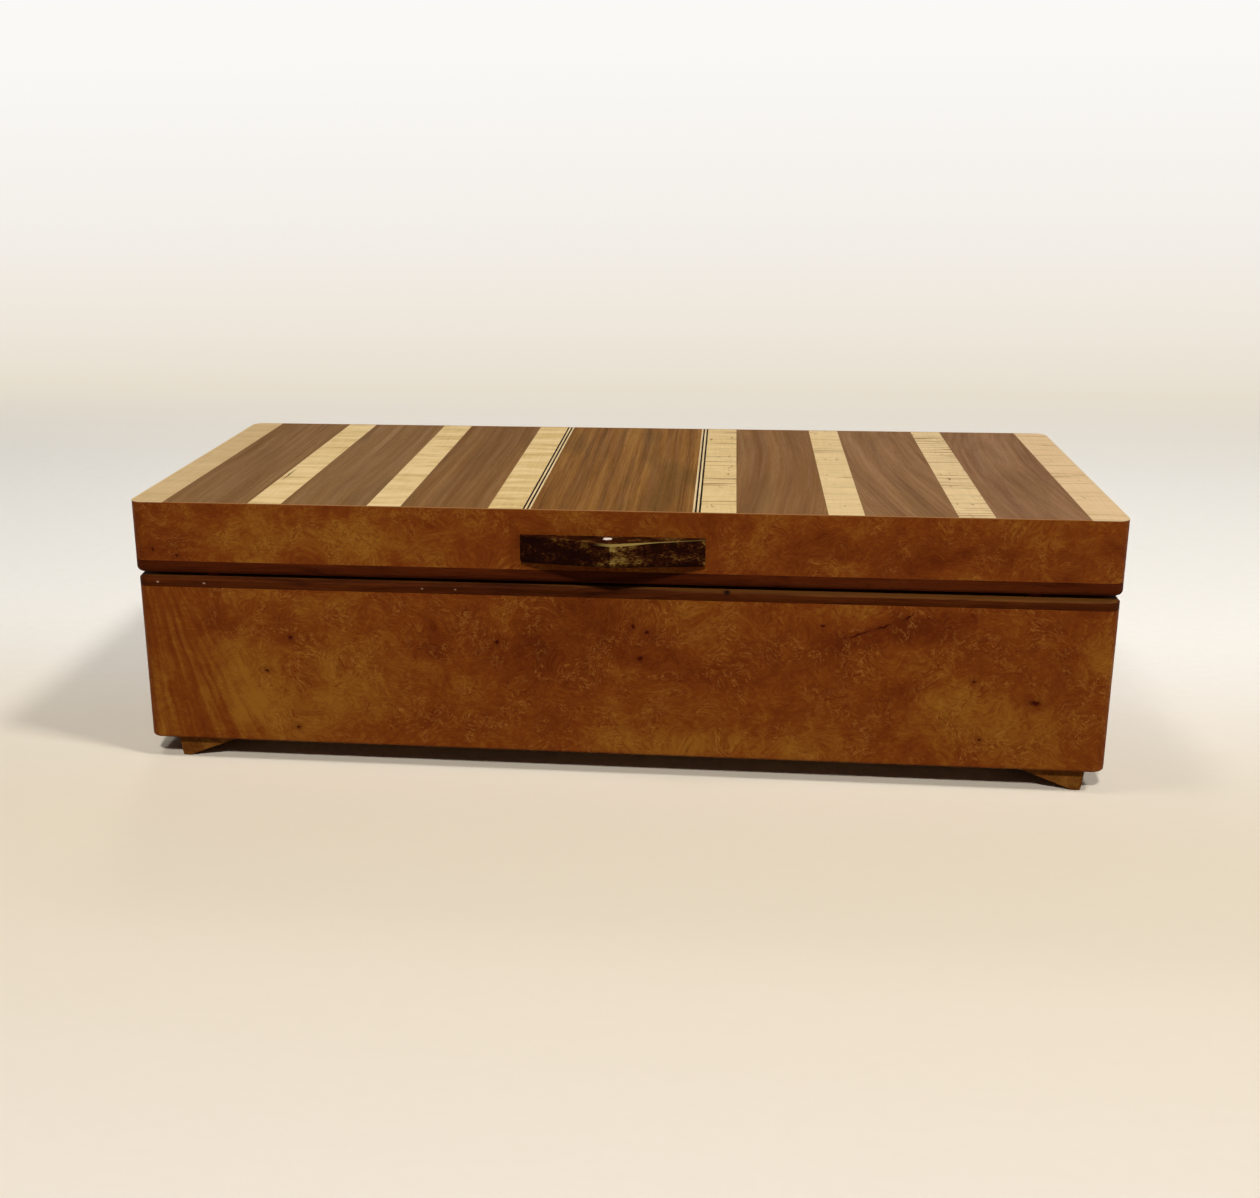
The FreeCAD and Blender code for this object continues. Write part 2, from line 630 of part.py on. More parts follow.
def build_lid(bevel):
    """Keep the lid's boards, lips, panel, strips, lining and handle; return its back pieces."""
    frame = Frame("0")
    seat = rounded_plate("strip_seat", "rim_skin", "(corner_radius - rim_skin)",
                         STRIP_SEAT, "2 * strip_thickness")
    boards = {}
    for side in SIDES:
        blank = frame.mitred(f"lid_{side}_board_blank", side, LID_BOARD_FOOT,
                             "lid_height - lid_lip_height")
        label = f"lid_{side}_board" if side in ("right", "left") else f"lid_{side}_board_seated"
        boards[side] = cut(label, blank, [seat])
    lips = build_lips(frame, "lid", LID_RIM, "lid_lip_height",
                      ("Fillet", "lid_lip_round", LID_RIM), bevel)
    keep(boards["right"])
    keep(boards["left"])
    for side in ("front", "right", "left"):
        keep(lips[side])
    inner_low = (f"{LEFT} + wall", f"{FRONT} + wall")
    inner_high = (f"{RIGHT} - wall", f"{BACK} - wall")
    ceiling = f"{STRIP_SEAT} - panel_thickness"
    keep(block("lid_panel", (*inner_low, ceiling), (*inner_high, STRIP_SEAT)))
    keep(block("lid_lining",
               (*(f"{low} + lining_margin" for low in inner_low), f"{ceiling} - lining_thickness"),
               (*(f"{high} - lining_margin" for high in inner_high), ceiling)))
    build_strips()
    build_handle(boards["front"])
    return {"lip": lips["back"], "board": boards["back"]}


def check_document():
    """Stop if any object failed or any piece has no sound solid."""
    doc.recompute()
    for thing in doc.Objects:
        bad = {"Invalid", "Error"} & set(thing.State)
        if bad:
            raise RuntimeError(f"{thing.Label} is {thing.State}")
    for piece in pieces:
        if piece.Shape.isNull() or not piece.Shape.isValid() or not piece.Shape.Solids:
            raise RuntimeError(f"{piece.Label} has no sound shape")


def write_steps():
    """Write each finished piece to a file of its own name."""
    os.makedirs("parts", exist_ok=True)
    for piece in pieces:
        piece.Shape.exportStep(f"parts/{piece.Label}.step")
        print(f"{piece.Label}: {len(piece.Shape.Solids)} solid, {piece.Shape.Volume:.1f} mm3")
    print(len(pieces), "pieces")


fill_sheet()
shared_bevel = stop_bevel()
case_back_pieces = build_case(shared_bevel)
lid_back_pieces = build_lid(shared_bevel)
build_hinges(case_back_pieces, lid_back_pieces, shared_bevel)
check_document()
write_steps()
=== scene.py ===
"""A hinged keepsake box in burl, walnut and maple, dressed over its CAD frame.

Lengths are metres in the meshes and millimetres in the finishes, whose patterns read
Object coordinates, so every grain stays with its piece when the lid turns.
"""

from __future__ import annotations

import logging
import math
from dataclasses import dataclass, field, replace
from enum import Enum
from typing import Sequence, Union

import bpy
from mathutils import Matrix, Vector

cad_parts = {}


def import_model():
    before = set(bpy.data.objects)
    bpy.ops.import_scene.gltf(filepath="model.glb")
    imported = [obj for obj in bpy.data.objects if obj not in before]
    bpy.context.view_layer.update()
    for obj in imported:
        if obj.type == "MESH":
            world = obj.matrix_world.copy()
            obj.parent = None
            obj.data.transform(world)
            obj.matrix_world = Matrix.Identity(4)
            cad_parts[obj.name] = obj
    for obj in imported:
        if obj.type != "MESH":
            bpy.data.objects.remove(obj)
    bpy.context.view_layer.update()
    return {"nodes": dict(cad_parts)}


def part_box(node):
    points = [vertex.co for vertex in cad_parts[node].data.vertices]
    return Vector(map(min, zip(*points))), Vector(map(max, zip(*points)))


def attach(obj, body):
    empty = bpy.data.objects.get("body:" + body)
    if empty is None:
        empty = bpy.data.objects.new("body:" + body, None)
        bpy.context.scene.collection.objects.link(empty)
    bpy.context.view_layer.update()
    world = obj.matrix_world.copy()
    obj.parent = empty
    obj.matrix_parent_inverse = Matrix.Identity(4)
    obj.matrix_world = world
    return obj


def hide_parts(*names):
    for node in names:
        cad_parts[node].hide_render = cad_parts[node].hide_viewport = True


LOG = logging.getLogger("keepsake_box")
MM = 0.001
SIDES = ("front", "back", "left", "right")
NEAR_ZERO = 1e-5
CASE_FRONT = -60.1
LID_FRONT = -60.5

Socket = bpy.types.NodeSocket
Feed = Union[Socket, "Colour", float, int, Sequence[float]]
Feeds = dict[Union[str, int], Feed]
Pair = tuple[Socket, Socket]


class Body(Enum):
    """The two bodies that the hinges join."""

    CASE = "case"
    LID = "lid"


class Along(Enum):
    """The direction that a board's fibres run in."""

    WIDTH = (1.0, 0.0, 0.0)
    DEPTH = (0.0, 1.0, 0.0)
    HEIGHT = (0.0, 0.0, 1.0)

    def pulled(self, share: float) -> tuple[float, ...]:
        """Gives the scale that draws a pattern out along the fibres."""
        return tuple(1.0 - share * part for part in self.value)


@dataclass(frozen=True)
class Colour:
    """A colour as it looks on a screen, from 0 to 255."""

    red: float
    green: float
    blue: float

    def linear(self) -> tuple[float, float, float, float]:
        """Gives the colour as the shader wants it."""
        return (*(self._line(part / 255.0) for part in (self.red, self.green, self.blue)), 1.0)

    def times(self, share: float) -> "Colour":
        """Gives the same colour, darker or lighter by a share."""
        return Colour(self.red * share, self.green * share, self.blue * share)

    @staticmethod
    def _line(part: float) -> float:
        """Undoes the screen's curve for one part."""
        return part / 12.92 if part <= 0.04045 else ((part + 0.055) / 1.055) ** 2.4


class Sheet:
    """A node tree with short ways to add and join its nodes."""

    def __init__(self, tree: bpy.types.NodeTree) -> None:
        """Keeps the tree that the nodes go into.

        Args:
            tree: the material's or world's node tree.
        """
        self.tree = tree

    def add(self, kind: str, feeds: Feeds | None = None, **settings: object) -> bpy.types.Node:
        """Adds a node, sets it up and feeds its inputs.

        Args:
            kind: the node's type name.
            feeds: what goes into each input, by its name or number.
            **settings: the node's own properties.

        Returns:
            The new node.
        """
        node = self.tree.nodes.new(kind)
        for key, value in settings.items():
            setattr(node, key, value)
        for key, value in (feeds or {}).items():
            self.feed(node.inputs[key], value)
        return node

    def feed(self, socket: Socket, value: Feed) -> None:
        """Links a socket to an input, or sets the input to a number or a colour."""
        if isinstance(value, bpy.types.NodeSocket):
            self.tree.links.new(value, socket)
        else:
            socket.default_value = value.linear() if isinstance(value, Colour) else value

    def millimetres(self) -> Socket:
        """Gives the Object coordinates in millimetres."""
        place = self.add("ShaderNodeTexCoord").outputs["Object"]
        return self.scale(place, (1000.0, 1000.0, 1000.0))

    def scale(self, vector: Feed, by: Sequence[float]) -> Socket:
        """Stretches a vector, part by part."""
        return self.vector("MULTIPLY", vector, tuple(by))

    def vector(self, work: str, first: Feed, second: Feed = (0.0, 0.0, 0.0)) -> Socket:
        """Does one sum on vectors and gives the resulting vector."""
        return self.add("ShaderNodeVectorMath", {0: first, 1: second}, operation=work).outputs[0]

    def length(self, vector: Feed) -> Socket:
        """Gives a vector's length."""
        return self.add("ShaderNodeVectorMath", {0: vector}, operation="LENGTH").outputs["Value"]

    def sum(self, work: str, first: Feed, second: Feed = 0.0, third: Feed = 0.0) -> Socket:
        """Does one sum on numbers.

        Args:
            work: the operation's name.
            first: the first number.
            second: the second number.
            third: the third number, where the operation has one.

        Returns:
            The result's socket.
        """
        return self.add("ShaderNodeMath", {0: first, 1: second, 2: third}, operation=work).outputs[0]

    def times(self, first: Feed, second: Feed) -> Socket:
        """Multiplies two numbers."""
        return self.sum("MULTIPLY", first, second)

    def weigh(self, value: Feed, share: Feed, base: Feed) -> Socket:
        """Adds a share of a value to a base."""
        return self.sum("MULTIPLY_ADD", value, share, base)

    def swing(self, value: Feed, share: float, base: Feed) -> Socket:
        """Adds a share of how far a value is from 0.5 to a base."""
        return self.weigh(self.sum("SUBTRACT", value, 0.5), share, base)

    def split(self, vector: Feed) -> tuple[Socket, Socket, Socket]:
        """Gives a vector's three parts."""
        parts = self.add("ShaderNodeSeparateXYZ", {0: vector}).outputs
        return parts[0], parts[1], parts[2]

    def join(self, x: Feed, y: Feed, z: Feed) -> Socket:
        """Makes a vector of three numbers."""
        return self.add("ShaderNodeCombineXYZ", {0: x, 1: y, 2: z}).outputs[0]

    def noise(self, place: Feed, size: float, detail: float = 3.0, rough: float = 0.5) -> Socket:
        """Adds cloudy noise.

        Args:
            place: the coordinates, in millimetres.
            size: the width of its largest patches, in millimetres.
            detail: how many finer layers it has.
            rough: how strong the finer layers are.

        Returns:
            A number round 0.5.
        """
        feeds = {"Vector": place, "Scale": 1.0 / size, "Detail": detail, "Roughness": rough}
        return self.add("ShaderNodeTexNoise", feeds).outputs[0]

    def grain(self, place: Feed, by: Sequence[float], size: float, *layers: float) -> Socket:
        """Adds noise that is drawn out along each direction whose factor is under 1."""
        return self.noise(self.scale(place, by), size, *layers)

    def sway(self, place: Feed, size: float, reach: float, detail: float = 2.0) -> Socket:
        """Moves coordinates about by a smooth noise.

        Args:
            place: the coordinates, in millimetres.
            size: the width of the noise's patches, in millimetres.
            reach: how far a point moves, in millimetres.
            detail: how many finer layers the noise has.

        Returns:
            The moved coordinates.
        """
        feeds = {"Vector": place, "Scale": 1.0 / size, "Detail": detail}
        push = self.add("ShaderNodeTexNoise", feeds).outputs["Color"]
        centred = self.vector("SUBTRACT", push, (0.5, 0.5, 0.5))
        return self.vector("ADD", place, self.scale(centred, (reach, reach, reach)))

    def rise(self, value: Feed, start: float, end: float, low: float = 0.0, high: float = 1.0) -> Socket:
        """Goes smoothly from low to high while a value goes from start to end."""
        feeds = {"Value": value, "From Min": start, "From Max": end, "To Min": low, "To Max": high}
        return self.add("ShaderNodeMapRange", feeds, interpolation_type="SMOOTHSTEP").outputs[0]

    def line(self, value: Feed, middle: float, half: float) -> Socket:
        """Gives 1 where a value is at its middle and 0 where it is half away or more."""
        off = self.sum("ABSOLUTE", self.sum("SUBTRACT", value, middle))
        return self.rise(off, half, 0.0)

    def mix(self, share: Feed, first: Feed, second: Feed) -> Socket:
        """Blends two colours."""
        feeds = {0: share, 6: first, 7: second}
        return self.add("ShaderNodeMix", feeds, data_type="RGBA").outputs[2]

    def ramp(self, value: Feed, stops: Sequence[tuple[float, Colour]]) -> Socket:
        """Turns a number into a colour by way of stops."""
        node = self.add("ShaderNodeValToRGB", {0: value})
        elements = node.color_ramp.elements
        while len(elements) < len(stops):
            elements.new(0.5)
        for element, (place, colour) in zip(elements, stops):
            element.position = place
            element.color = colour.linear()
        return node.outputs[0]

    def seen(self) -> Socket:
        """Gives 1 for rays that the camera sees, also in a shine, and 0 for those that only light."""
        path = self.add("ShaderNodeLightPath").outputs
        clear = self.sum("MAXIMUM", path["Is Glossy Ray"], path["Is Transmission Ray"])
        return self.sum("MAXIMUM", path["Is Camera Ray"], clear)


def blank(owner: Union[bpy.types.Material, bpy.types.World]) -> Sheet:
    """Empties the node tree of a material or a world."""
    owner.use_nodes = True
    owner.node_tree.nodes.clear()
    return Sheet(owner.node_tree)


def show(name: str, data: bpy.types.ID) -> bpy.types.Object:
    """Makes an object of a mesh, a lamp or a camera and links it to the scene."""
    made = bpy.data.objects.new(name, data)
    bpy.context.scene.collection.objects.link(made)
    return made


@dataclass(frozen=True)
class Spot:
    """An oval place in the wood, in millimetres, such as an eye, a crack or a cloud."""

    x: float
    z: float
    wide: float
    high: float
    tilt: float = 0.0
    deep: float = 6.0
    weight: float = 1.0
    y: float = CASE_FRONT

    def shade(self, sheet: Sheet, place: Feed, core: float = 0.25) -> Socket:
        """Draws the place.

        Args:
            sheet: the node tree.
            place: the coordinates, in millimetres.
            core: the share of its radius that is at full strength.

        Returns:
            The place's weight inside it, and 0 outside.
        """
        centre = (self.x, self.y, self.z)
        turn = (0.0, math.radians(-self.tilt), 0.0)
        size = (self.wide, self.deep, self.high)
        feeds = {"Vector": place, "Location": centre, "Rotation": turn, "Scale": size}
        near = sheet.add("ShaderNodeMapping", feeds, vector_type="TEXTURE").outputs[0]
        return sheet.rise(sheet.length(near), 1.0, core, 0.0, self.weight)

    def ring(self) -> "Spot":
        """Gives the wider and fainter place round an eye."""
        return replace(self, wide=self.wide * 3.2, high=self.high * 3.0, weight=self.weight * 0.45)


@dataclass(frozen=True)
class Cloud(Spot):
    """A soft and broad place, which reaches deeper into the wood."""

    deep: float = 20.0


def spotted(sheet: Sheet, place: Feed, colour: Socket, spots: Sequence[Spot], ink: Colour) -> Socket:
    """Paints spots of one colour over another colour."""
    for spot in spots:
        colour = sheet.mix(spot.shade(sheet, place), colour, ink)
    return colour


@dataclass(frozen=True)
class Finish:
    """What every finish has: a name, and how its surface takes the light."""

    name: str
    rough: float = 0.5
    rough_swing: float = 0.08
    gloss: float = 0.04
    metal: float = 0.0
    bump: float = 0.15
    bump_depth: float = 0.03
    edge: float = 0.0

    def material(self) -> bpy.types.Material:
        """Builds the material.

        Returns:
            A new material whose colour, roughness and bump come from its nodes.
        """
        made = bpy.data.materials.new(self.name)
        sheet = blank(made)
        colour, height = self.figure(sheet, sheet.millimetres())
        rough = sheet.rise(height, 0.2, 0.8, self.rough + self.rough_swing, self.rough - self.rough_swing)
        feeds: Feeds = {
            "Base Color": colour,
            "Roughness": rough,
            "Metallic": self.metal,
            "Specular IOR Level": self.gloss,
        }
        ups = {"Height": height, "Strength": self.bump, "Distance": self.bump_depth * MM}
        if self.edge > 0.0:
            ups["Normal"] = sheet.add("ShaderNodeBevel", {"Radius": self.edge * MM}, samples=4).outputs[0]
        feeds["Normal"] = sheet.add("ShaderNodeBump", ups).outputs[0]
        shader = sheet.add("ShaderNodeBsdfPrincipled", feeds)
        sheet.add("ShaderNodeOutputMaterial", {"Surface": shader.outputs[0]})
        return made

    def figure(self, sheet: Sheet, place: Socket) -> Pair:
        """Draws the colour and the height of the surface.

        Args:
            sheet: the node tree.
            place: the coordinates, in millimetres.

        Returns:
            The colour's socket and the height's.
        """
        raise NotImplementedError


@dataclass(frozen=True)
class Fan:
    """Straight fibres that spread downwards from a board's left end, in millimetres."""

    left: float
    top: float
    spread: float
    width: float
    fade: float

    def draw(self, sheet: Sheet, place: Socket) -> Pair:
        """Draws the fibres.

        Args:
            sheet: the node tree.
            place: the coordinates, in millimetres.

        Returns:
            The fibres' streaks, round 0.5, and how strongly they show.
        """
        swayed = sheet.sway(place, 16.0, 3.4)
        x, _, z = sheet.split(swayed)
        down = sheet.sum("SUBTRACT", self.top, z)
        opened = sheet.weigh(down, self.spread, 1.0)
        across = sheet.sum("DIVIDE", sheet.sum("SUBTRACT", x, self.left), opened)
        strip = sheet.join(across, 0.0, sheet.times(z, 0.03))
        streaks = sheet.noise(strip, 1.1, 4.0, 0.6)
        return streaks, sheet.rise(across, self.width, self.width - self.fade, 0.0, 0.8)


@dataclass(frozen=True)
class Burl(Finish):
    """Varnished burl: swirling clouds, curled flecks and small eyes, and, where rim_level is set, a painted
    highlight along the top arris.
    """

    dark: Colour = Colour(96, 38, 8)
    middle: Colour = Colour(125, 60, 15)
    gold: Colour = Colour(154, 98, 30)
    fleck: Colour = Colour(188, 128, 58)
    eye: Colour = Colour(60, 13, 3)
    fleck_share: float = 0.42
    cloud_size: float = 26.0
    reds: tuple[Spot, ...] = ()
    golds: tuple[Spot, ...] = ()
    eyes: tuple[Spot, ...] = ()
    fan: Fan | None = None
    # rim_level, rim, rim_end and ends_from set a painted highlight: a pale tan line along the top arris,
    # paler cream near the ends.
    rim_level: float = 0.0
    rim: Colour = Colour(156, 104, 54)
    rim_end: Colour = Colour(208, 178, 132)
    ends_from: float = 138.6

    def figure(self, sheet: Sheet, place: Socket) -> Pair:
        """Draws the burl, as Finish.figure does."""
        bent = sheet.sway(place, 24.0, 20.0)
        curled = sheet.sway(bent, 5.0, 6.0, 1.0)
        broad = sheet.noise(bent, self.cloud_size, 4.0, 0.55)
        mottle = sheet.noise(curled, 5.5, 5.0, 0.66)
        fibre = sheet.grain(curled, (0.6, 0.6, 1.5), 1.0, 3.0, 0.68)
        tone = sheet.weigh(broad, 0.75, -0.46)
        tone = sheet.weigh(mottle, 0.55, tone)
        tone = sheet.weigh(fibre, 0.62, tone)
        edge = sheet.sway(place, 9.0, 9.0)
        for spot in self.golds:
            tone = sheet.sum("ADD", tone, spot.shade(sheet, edge, 0.1))
        for spot in self.reds:
            tone = sheet.sum("SUBTRACT", tone, spot.shade(sheet, edge, 0.1))
        if self.fan is not None:
            streaks, share = self.fan.draw(sheet, place)
            straight = sheet.weigh(streaks, 1.1, sheet.weigh(tone, 0.6, -0.27))
            tone = sheet.add("ShaderNodeMix", {0: share, 2: tone, 3: straight}).outputs[0]
        colour = sheet.ramp(tone, ((0.22, self.dark), (0.5, self.middle), (0.82, self.gold)))
        curls, shades = self._flecks(sheet, bent, curled, place)
        if self.fan is not None:
            open_wood = sheet.sum("SUBTRACT", 1.0, share)
            curls = sheet.times(curls, open_wood)
            shades = sheet.times(shades, open_wood)
        colour = sheet.mix(shades, colour, self.dark)
        colour = sheet.mix(curls, colour, self.fleck)
        # Painted highlight: the top arris is tinted pale tan, and cream near the ends, as if it caught the
        # light.
        if self.rim_level > 0.0:
            x, _, z = sheet.split(place)
            rim = sheet.rise(z, self.rim_level - 0.25, self.rim_level - 0.05)
            ends = sheet.rise(sheet.sum("ABSOLUTE", x), self.ends_from, self.ends_from + 0.6)
            painted_highlight = sheet.mix(ends, self.rim, self.rim_end)
            colour = sheet.mix(rim, colour, painted_highlight)
        near = sheet.sway(place, 1.4, 1.3)
        for spot in self.eyes:
            colour = sheet.mix(spot.ring().shade(sheet, near, 0.2), colour, self.dark)
            colour = sheet.mix(spot.shade(sheet, near), colour, self.eye)
        height = sheet.weigh(fibre, 0.5, sheet.times(mottle, 0.5))
        return colour, height

    def _flecks(self, sheet: Sheet, bent: Socket, curled: Socket, place: Socket) -> Pair:
        """Draws short bright curls and the dark strokes beside them, in clusters.

        Args:
            sheet: the node tree.
            bent: the coordinates that the clouds follow.
            curled: the coordinates that the mottling follows.
            place: the plain coordinates.

        Returns:
            The share of bright wood and the share of dark wood.
        """
        clusters = sheet.rise(sheet.noise(bent, 10.0, 2.0), 0.44, 0.62)
        broken = sheet.rise(sheet.noise(place, 2.4, 2.0), 0.4, 0.56)
        strokes = sheet.grain(curled, (0.8, 1.0, 1.2), 1.5, 3.0, 0.6)
        bright = sheet.times(sheet.line(strokes, 0.54, 0.045), broken)
        bright = sheet.times(bright, clusters)
        deep = sheet.times(sheet.line(strokes, 0.44, 0.05), clusters)
        curls = sheet.times(bright, self.fleck_share)
        return curls, sheet.times(deep, 0.55)


@dataclass(frozen=True)
class Straight(Finish):
    """Straight-grained wood whose long streaks follow one direction."""

    along: Along = Along.WIDTH
    dark: Colour = Colour(70, 30, 12)
    middle: Colour = Colour(96, 44, 18)
    light: Colour = Colour(118, 62, 26)
    streak: float = 1.6
    seed: float = 0.0
    pores: float = 0.4
    pale_edge: float = 0.0
    edge_top: float = 61.6
    pale: Colour = Colour(108, 66, 24)
    marks: tuple[Spot, ...] = ()
    mark: Colour = Colour(26, 8, 3)
    chips: tuple[Spot, ...] = ()
    chip: Colour = Colour(176, 140, 116)

    def figure(self, sheet: Sheet, place: Socket) -> Pair:
        """Draws the streaks, as Finish.figure does."""
        moved = sheet.vector("ADD", place, (self.seed, self.seed * 0.7, self.seed * 0.4))
        swayed = sheet.sway(moved, 40.0, 5.0)
        drawn = sheet.scale(swayed, self.along.pulled(0.955))
        broad = sheet.noise(drawn, self.streak * 3.2, 2.0)
        narrow = sheet.noise(drawn, self.streak, 3.0, 0.6)
        fine = sheet.noise(drawn, self.streak * 0.28, 2.0)
        tone = sheet.weigh(broad, 0.7, -0.42)
        tone = sheet.weigh(narrow, 0.8, tone)
        tone = sheet.weigh(fine, 0.34, tone)
        colour = sheet.ramp(tone, ((0.25, self.dark), (0.5, self.middle), (0.78, self.light)))
        dashes = sheet.grain(moved, self.along.pulled(0.86), 0.42, 1.0)
        pore = sheet.rise(dashes, 0.62, 0.7, 0.0, self.pores)
        colour = sheet.mix(pore, colour, self.dark.times(0.7))
        if self.pale_edge > 0.0:
            colour = self._edge(sheet, place, narrow, colour)
        near = sheet.sway(place, 1.2, 0.5)
        colour = spotted(sheet, near, colour, self.marks, self.mark)
        colour = spotted(sheet, near, colour, self.chips, self.chip)
        height = sheet.sum("SUBTRACT", narrow, sheet.times(pore, 0.5))
        return colour, height

    def _edge(self, sheet: Sheet, place: Socket, narrow: Socket, colour: Socket) -> Socket:
        """Adds a paler band with a wavy lower border along a lip's upper edge, wider and stronger towards
        the right.
        """
        x, _, z = sheet.split(place)
        wavy = sheet.weigh(narrow, 1.1, z)
        start = sheet.rise(x, -60.0, 90.0, self.edge_top + 0.2, self.edge_top - 0.8)
        band = sheet.rise(sheet.sum("SUBTRACT", wavy, start), 0.0, 0.5)
        share = sheet.rise(x, -60.0, 60.0, self.pale_edge * 0.6, self.pale_edge)
        return sheet.mix(sheet.times(band, share), colour, self.pale)


@dataclass(frozen=True)
class Walnut(Finish):
    """A walnut strip of the lid, with its fibres from front to back."""

    gloss: float = 0.01
    dark: Colour = Colour(104, 71, 37)
    middle: Colour = Colour(121, 86, 48)
    light: Colour = Colour(138, 101, 61)
    shadow: Colour = Colour(92, 64, 30)
    seed: float = 0.0
    middle_x: float = 0.0
    arches: float = 0.0
    arch_reach: float = 30.0
    arch_width: float = 10.0
    streak: float = 1.3
    contrast: float = 0.8
    bow: float = 4.0
    bend: float = 0.0
    bend_y: float = 0.0
    patches: float = 0.35
    half_length: float = 60.0
    arch_count: float = 2.0

    def figure(self, sheet: Sheet, place: Socket) -> Pair:
        """Draws the strip's grain, as Finish.figure does."""
        _, y, _ = sheet.split(place)
        along = sheet.weigh(y, 1.0 / self.half_length, -self.bend_y / self.half_length)
        curve = sheet.join(sheet.times(sheet.times(along, along), self.bend), 0.0, 0.0)
        bent = sheet.vector("ADD", place, curve)
        moved = sheet.vector("ADD", bent, (0.0, self.seed * 7.0, self.seed * 13.0))
        swayed = sheet.sway(moved, 90.0, self.bow, 1.0)
        drawn = sheet.scale(swayed, (1.0, 0.012, 1.0))
        broad = sheet.noise(drawn, self.streak * 4.5, 2.0)
        narrow = sheet.noise(drawn, self.streak, 3.0, 0.62)
        fine = sheet.grain(swayed, (1.0, 0.03, 1.0), 0.34, 2.0, 0.6)
        wide_share = 1.2 * self.contrast
        tone = sheet.weigh(broad, wide_share, 0.5 - 0.5 * wide_share)
        tone = sheet.swing(narrow, 0.65 * self.contrast, tone)
        tone = sheet.swing(fine, 0.36, tone)
        if self.arches > 0.0:
            tone = sheet.weigh(self._arches(sheet, swayed), -self.arches, tone)
        colour = sheet.ramp(tone, ((0.25, self.dark), (0.5, self.middle), (0.76, self.light)))
        murk = sheet.rise(sheet.grain(swayed, (1.0, 0.15, 1.0), 11.0, 3.0), 0.5, 0.68)
        colour = sheet.mix(sheet.times(murk, self.patches), colour, self.shadow)
        dashes = sheet.grain(swayed, (1.0, 0.1, 1.0), 0.36, 1.0)
        pore = sheet.rise(dashes, 0.61, 0.68, 0.0, 0.22)
        colour = sheet.mix(pore, colour, self.shadow.times(0.8))
        height = sheet.sum("SUBTRACT", narrow, sheet.times(pore, 0.6))
        return colour, height

    def _arches(self, sheet: Sheet, swayed: Socket) -> Socket:
        """Draws the nested arches of a board that was sawn off the heart's side."""
        x, y, _ = sheet.split(swayed)
        off = sheet.sum("DIVIDE", sheet.sum("SUBTRACT", x, self.middle_x), self.arch_width)
        run = sheet.weigh(y, 1.0 / self.arch_reach, sheet.times(off, off))
        drift = sheet.noise(swayed, 50.0, 1.0)
        turns = sheet.times(sheet.weigh(drift, 0.5, run), self.arch_count * math.tau)
        return sheet.rise(sheet.sum("SINE", turns), -0.2, 1.0)


@dataclass(frozen=True)
class Maple(Finish):
    """A curly maple strip, with bands across it and fibres from front to back."""

    gloss: float = 0.01
    pale: Colour = Colour(224, 194, 141)
    middle: Colour = Colour(211, 181, 125)
    dark: Colour = Colour(188, 154, 98)
    seed: float = 0.0
    curl: float = 0.6
    curl_size: float = 5.2
    crackle: float = 0.0
    crackle_colour: Colour = Colour(124, 90, 50)
    marks: tuple[Spot, ...] = ()
    mark: Colour = Colour(92, 66, 36)

    def figure(self, sheet: Sheet, place: Socket) -> Pair:
        """Draws the curl, as Finish.figure does."""
        moved = sheet.vector("ADD", place, (0.0, self.seed * 11.0, self.seed * 17.0))
        swayed = sheet.sway(moved, 16.0, 3.0)
        across = sheet.scale(swayed, (0.13, 1.0, 1.0))
        bands = sheet.noise(across, self.curl_size, 2.0, 0.6)
        ribs = sheet.grain(swayed, (0.22, 1.0, 1.0), self.curl_size * 0.33, 2.0)
        fibre = sheet.grain(moved, (1.0, 0.05, 1.0), 0.8, 3.0, 0.6)
        tone = sheet.swing(bands, self.curl * 1.9, 0.56)
        tone = sheet.swing(ribs, self.curl * 0.9, tone)
        tone = sheet.swing(fibre, 0.5, tone)
        colour = sheet.ramp(tone, ((0.1, self.dark), (0.45, self.middle), (0.8, self.pale)))
        if self.crackle > 0.0:
            colour = self._crackle(sheet, swayed, moved, colour)
        near = sheet.sway(place, 2.0, 0.6)
        colour = spotted(sheet, near, colour, self.marks, self.mark)
        return colour, sheet.weigh(bands, 0.5, sheet.times(fibre, 0.5))

    def _crackle(self, sheet: Sheet, swayed: Socket, moved: Socket, colour: Socket) -> Socket:
        """Adds the fine dark lines that cross the strips on the right."""
        swung = sheet.sway(moved, 20.0, 2.0, 1.0)
        level = sheet.grain(swung, (0.04, 1.0, 1.0), 15.0, 2.0, 0.6)
        cycle = sheet.sum("FRACT", sheet.times(level, 7.0))
        shown = sheet.rise(sheet.grain(moved, (0.25, 0.8, 1.0), 9.0, 1.0), 0.4, 0.54)
        share = sheet.times(sheet.line(cycle, 0.5, 0.13), shown)
        faint = sheet.line(sheet.grain(swayed, (0.1, 1.0, 1.0), 4.0, 2.0, 0.6), 0.56, 0.03)
        share = sheet.sum("MAXIMUM", share, sheet.times(faint, 0.35))
        specks = sheet.grain(swayed, (1.0, 0.3, 1.0), 1.6, 2.0, 0.6)
        few = sheet.rise(sheet.noise(moved, 6.0, 1.0), 0.55, 0.62)
        share = sheet.sum("MAXIMUM", share, sheet.times(sheet.rise(specks, 0.6, 0.68), few))
        share = sheet.times(share, self.crackle)
        return sheet.mix(share, colour, self.crackle_colour)


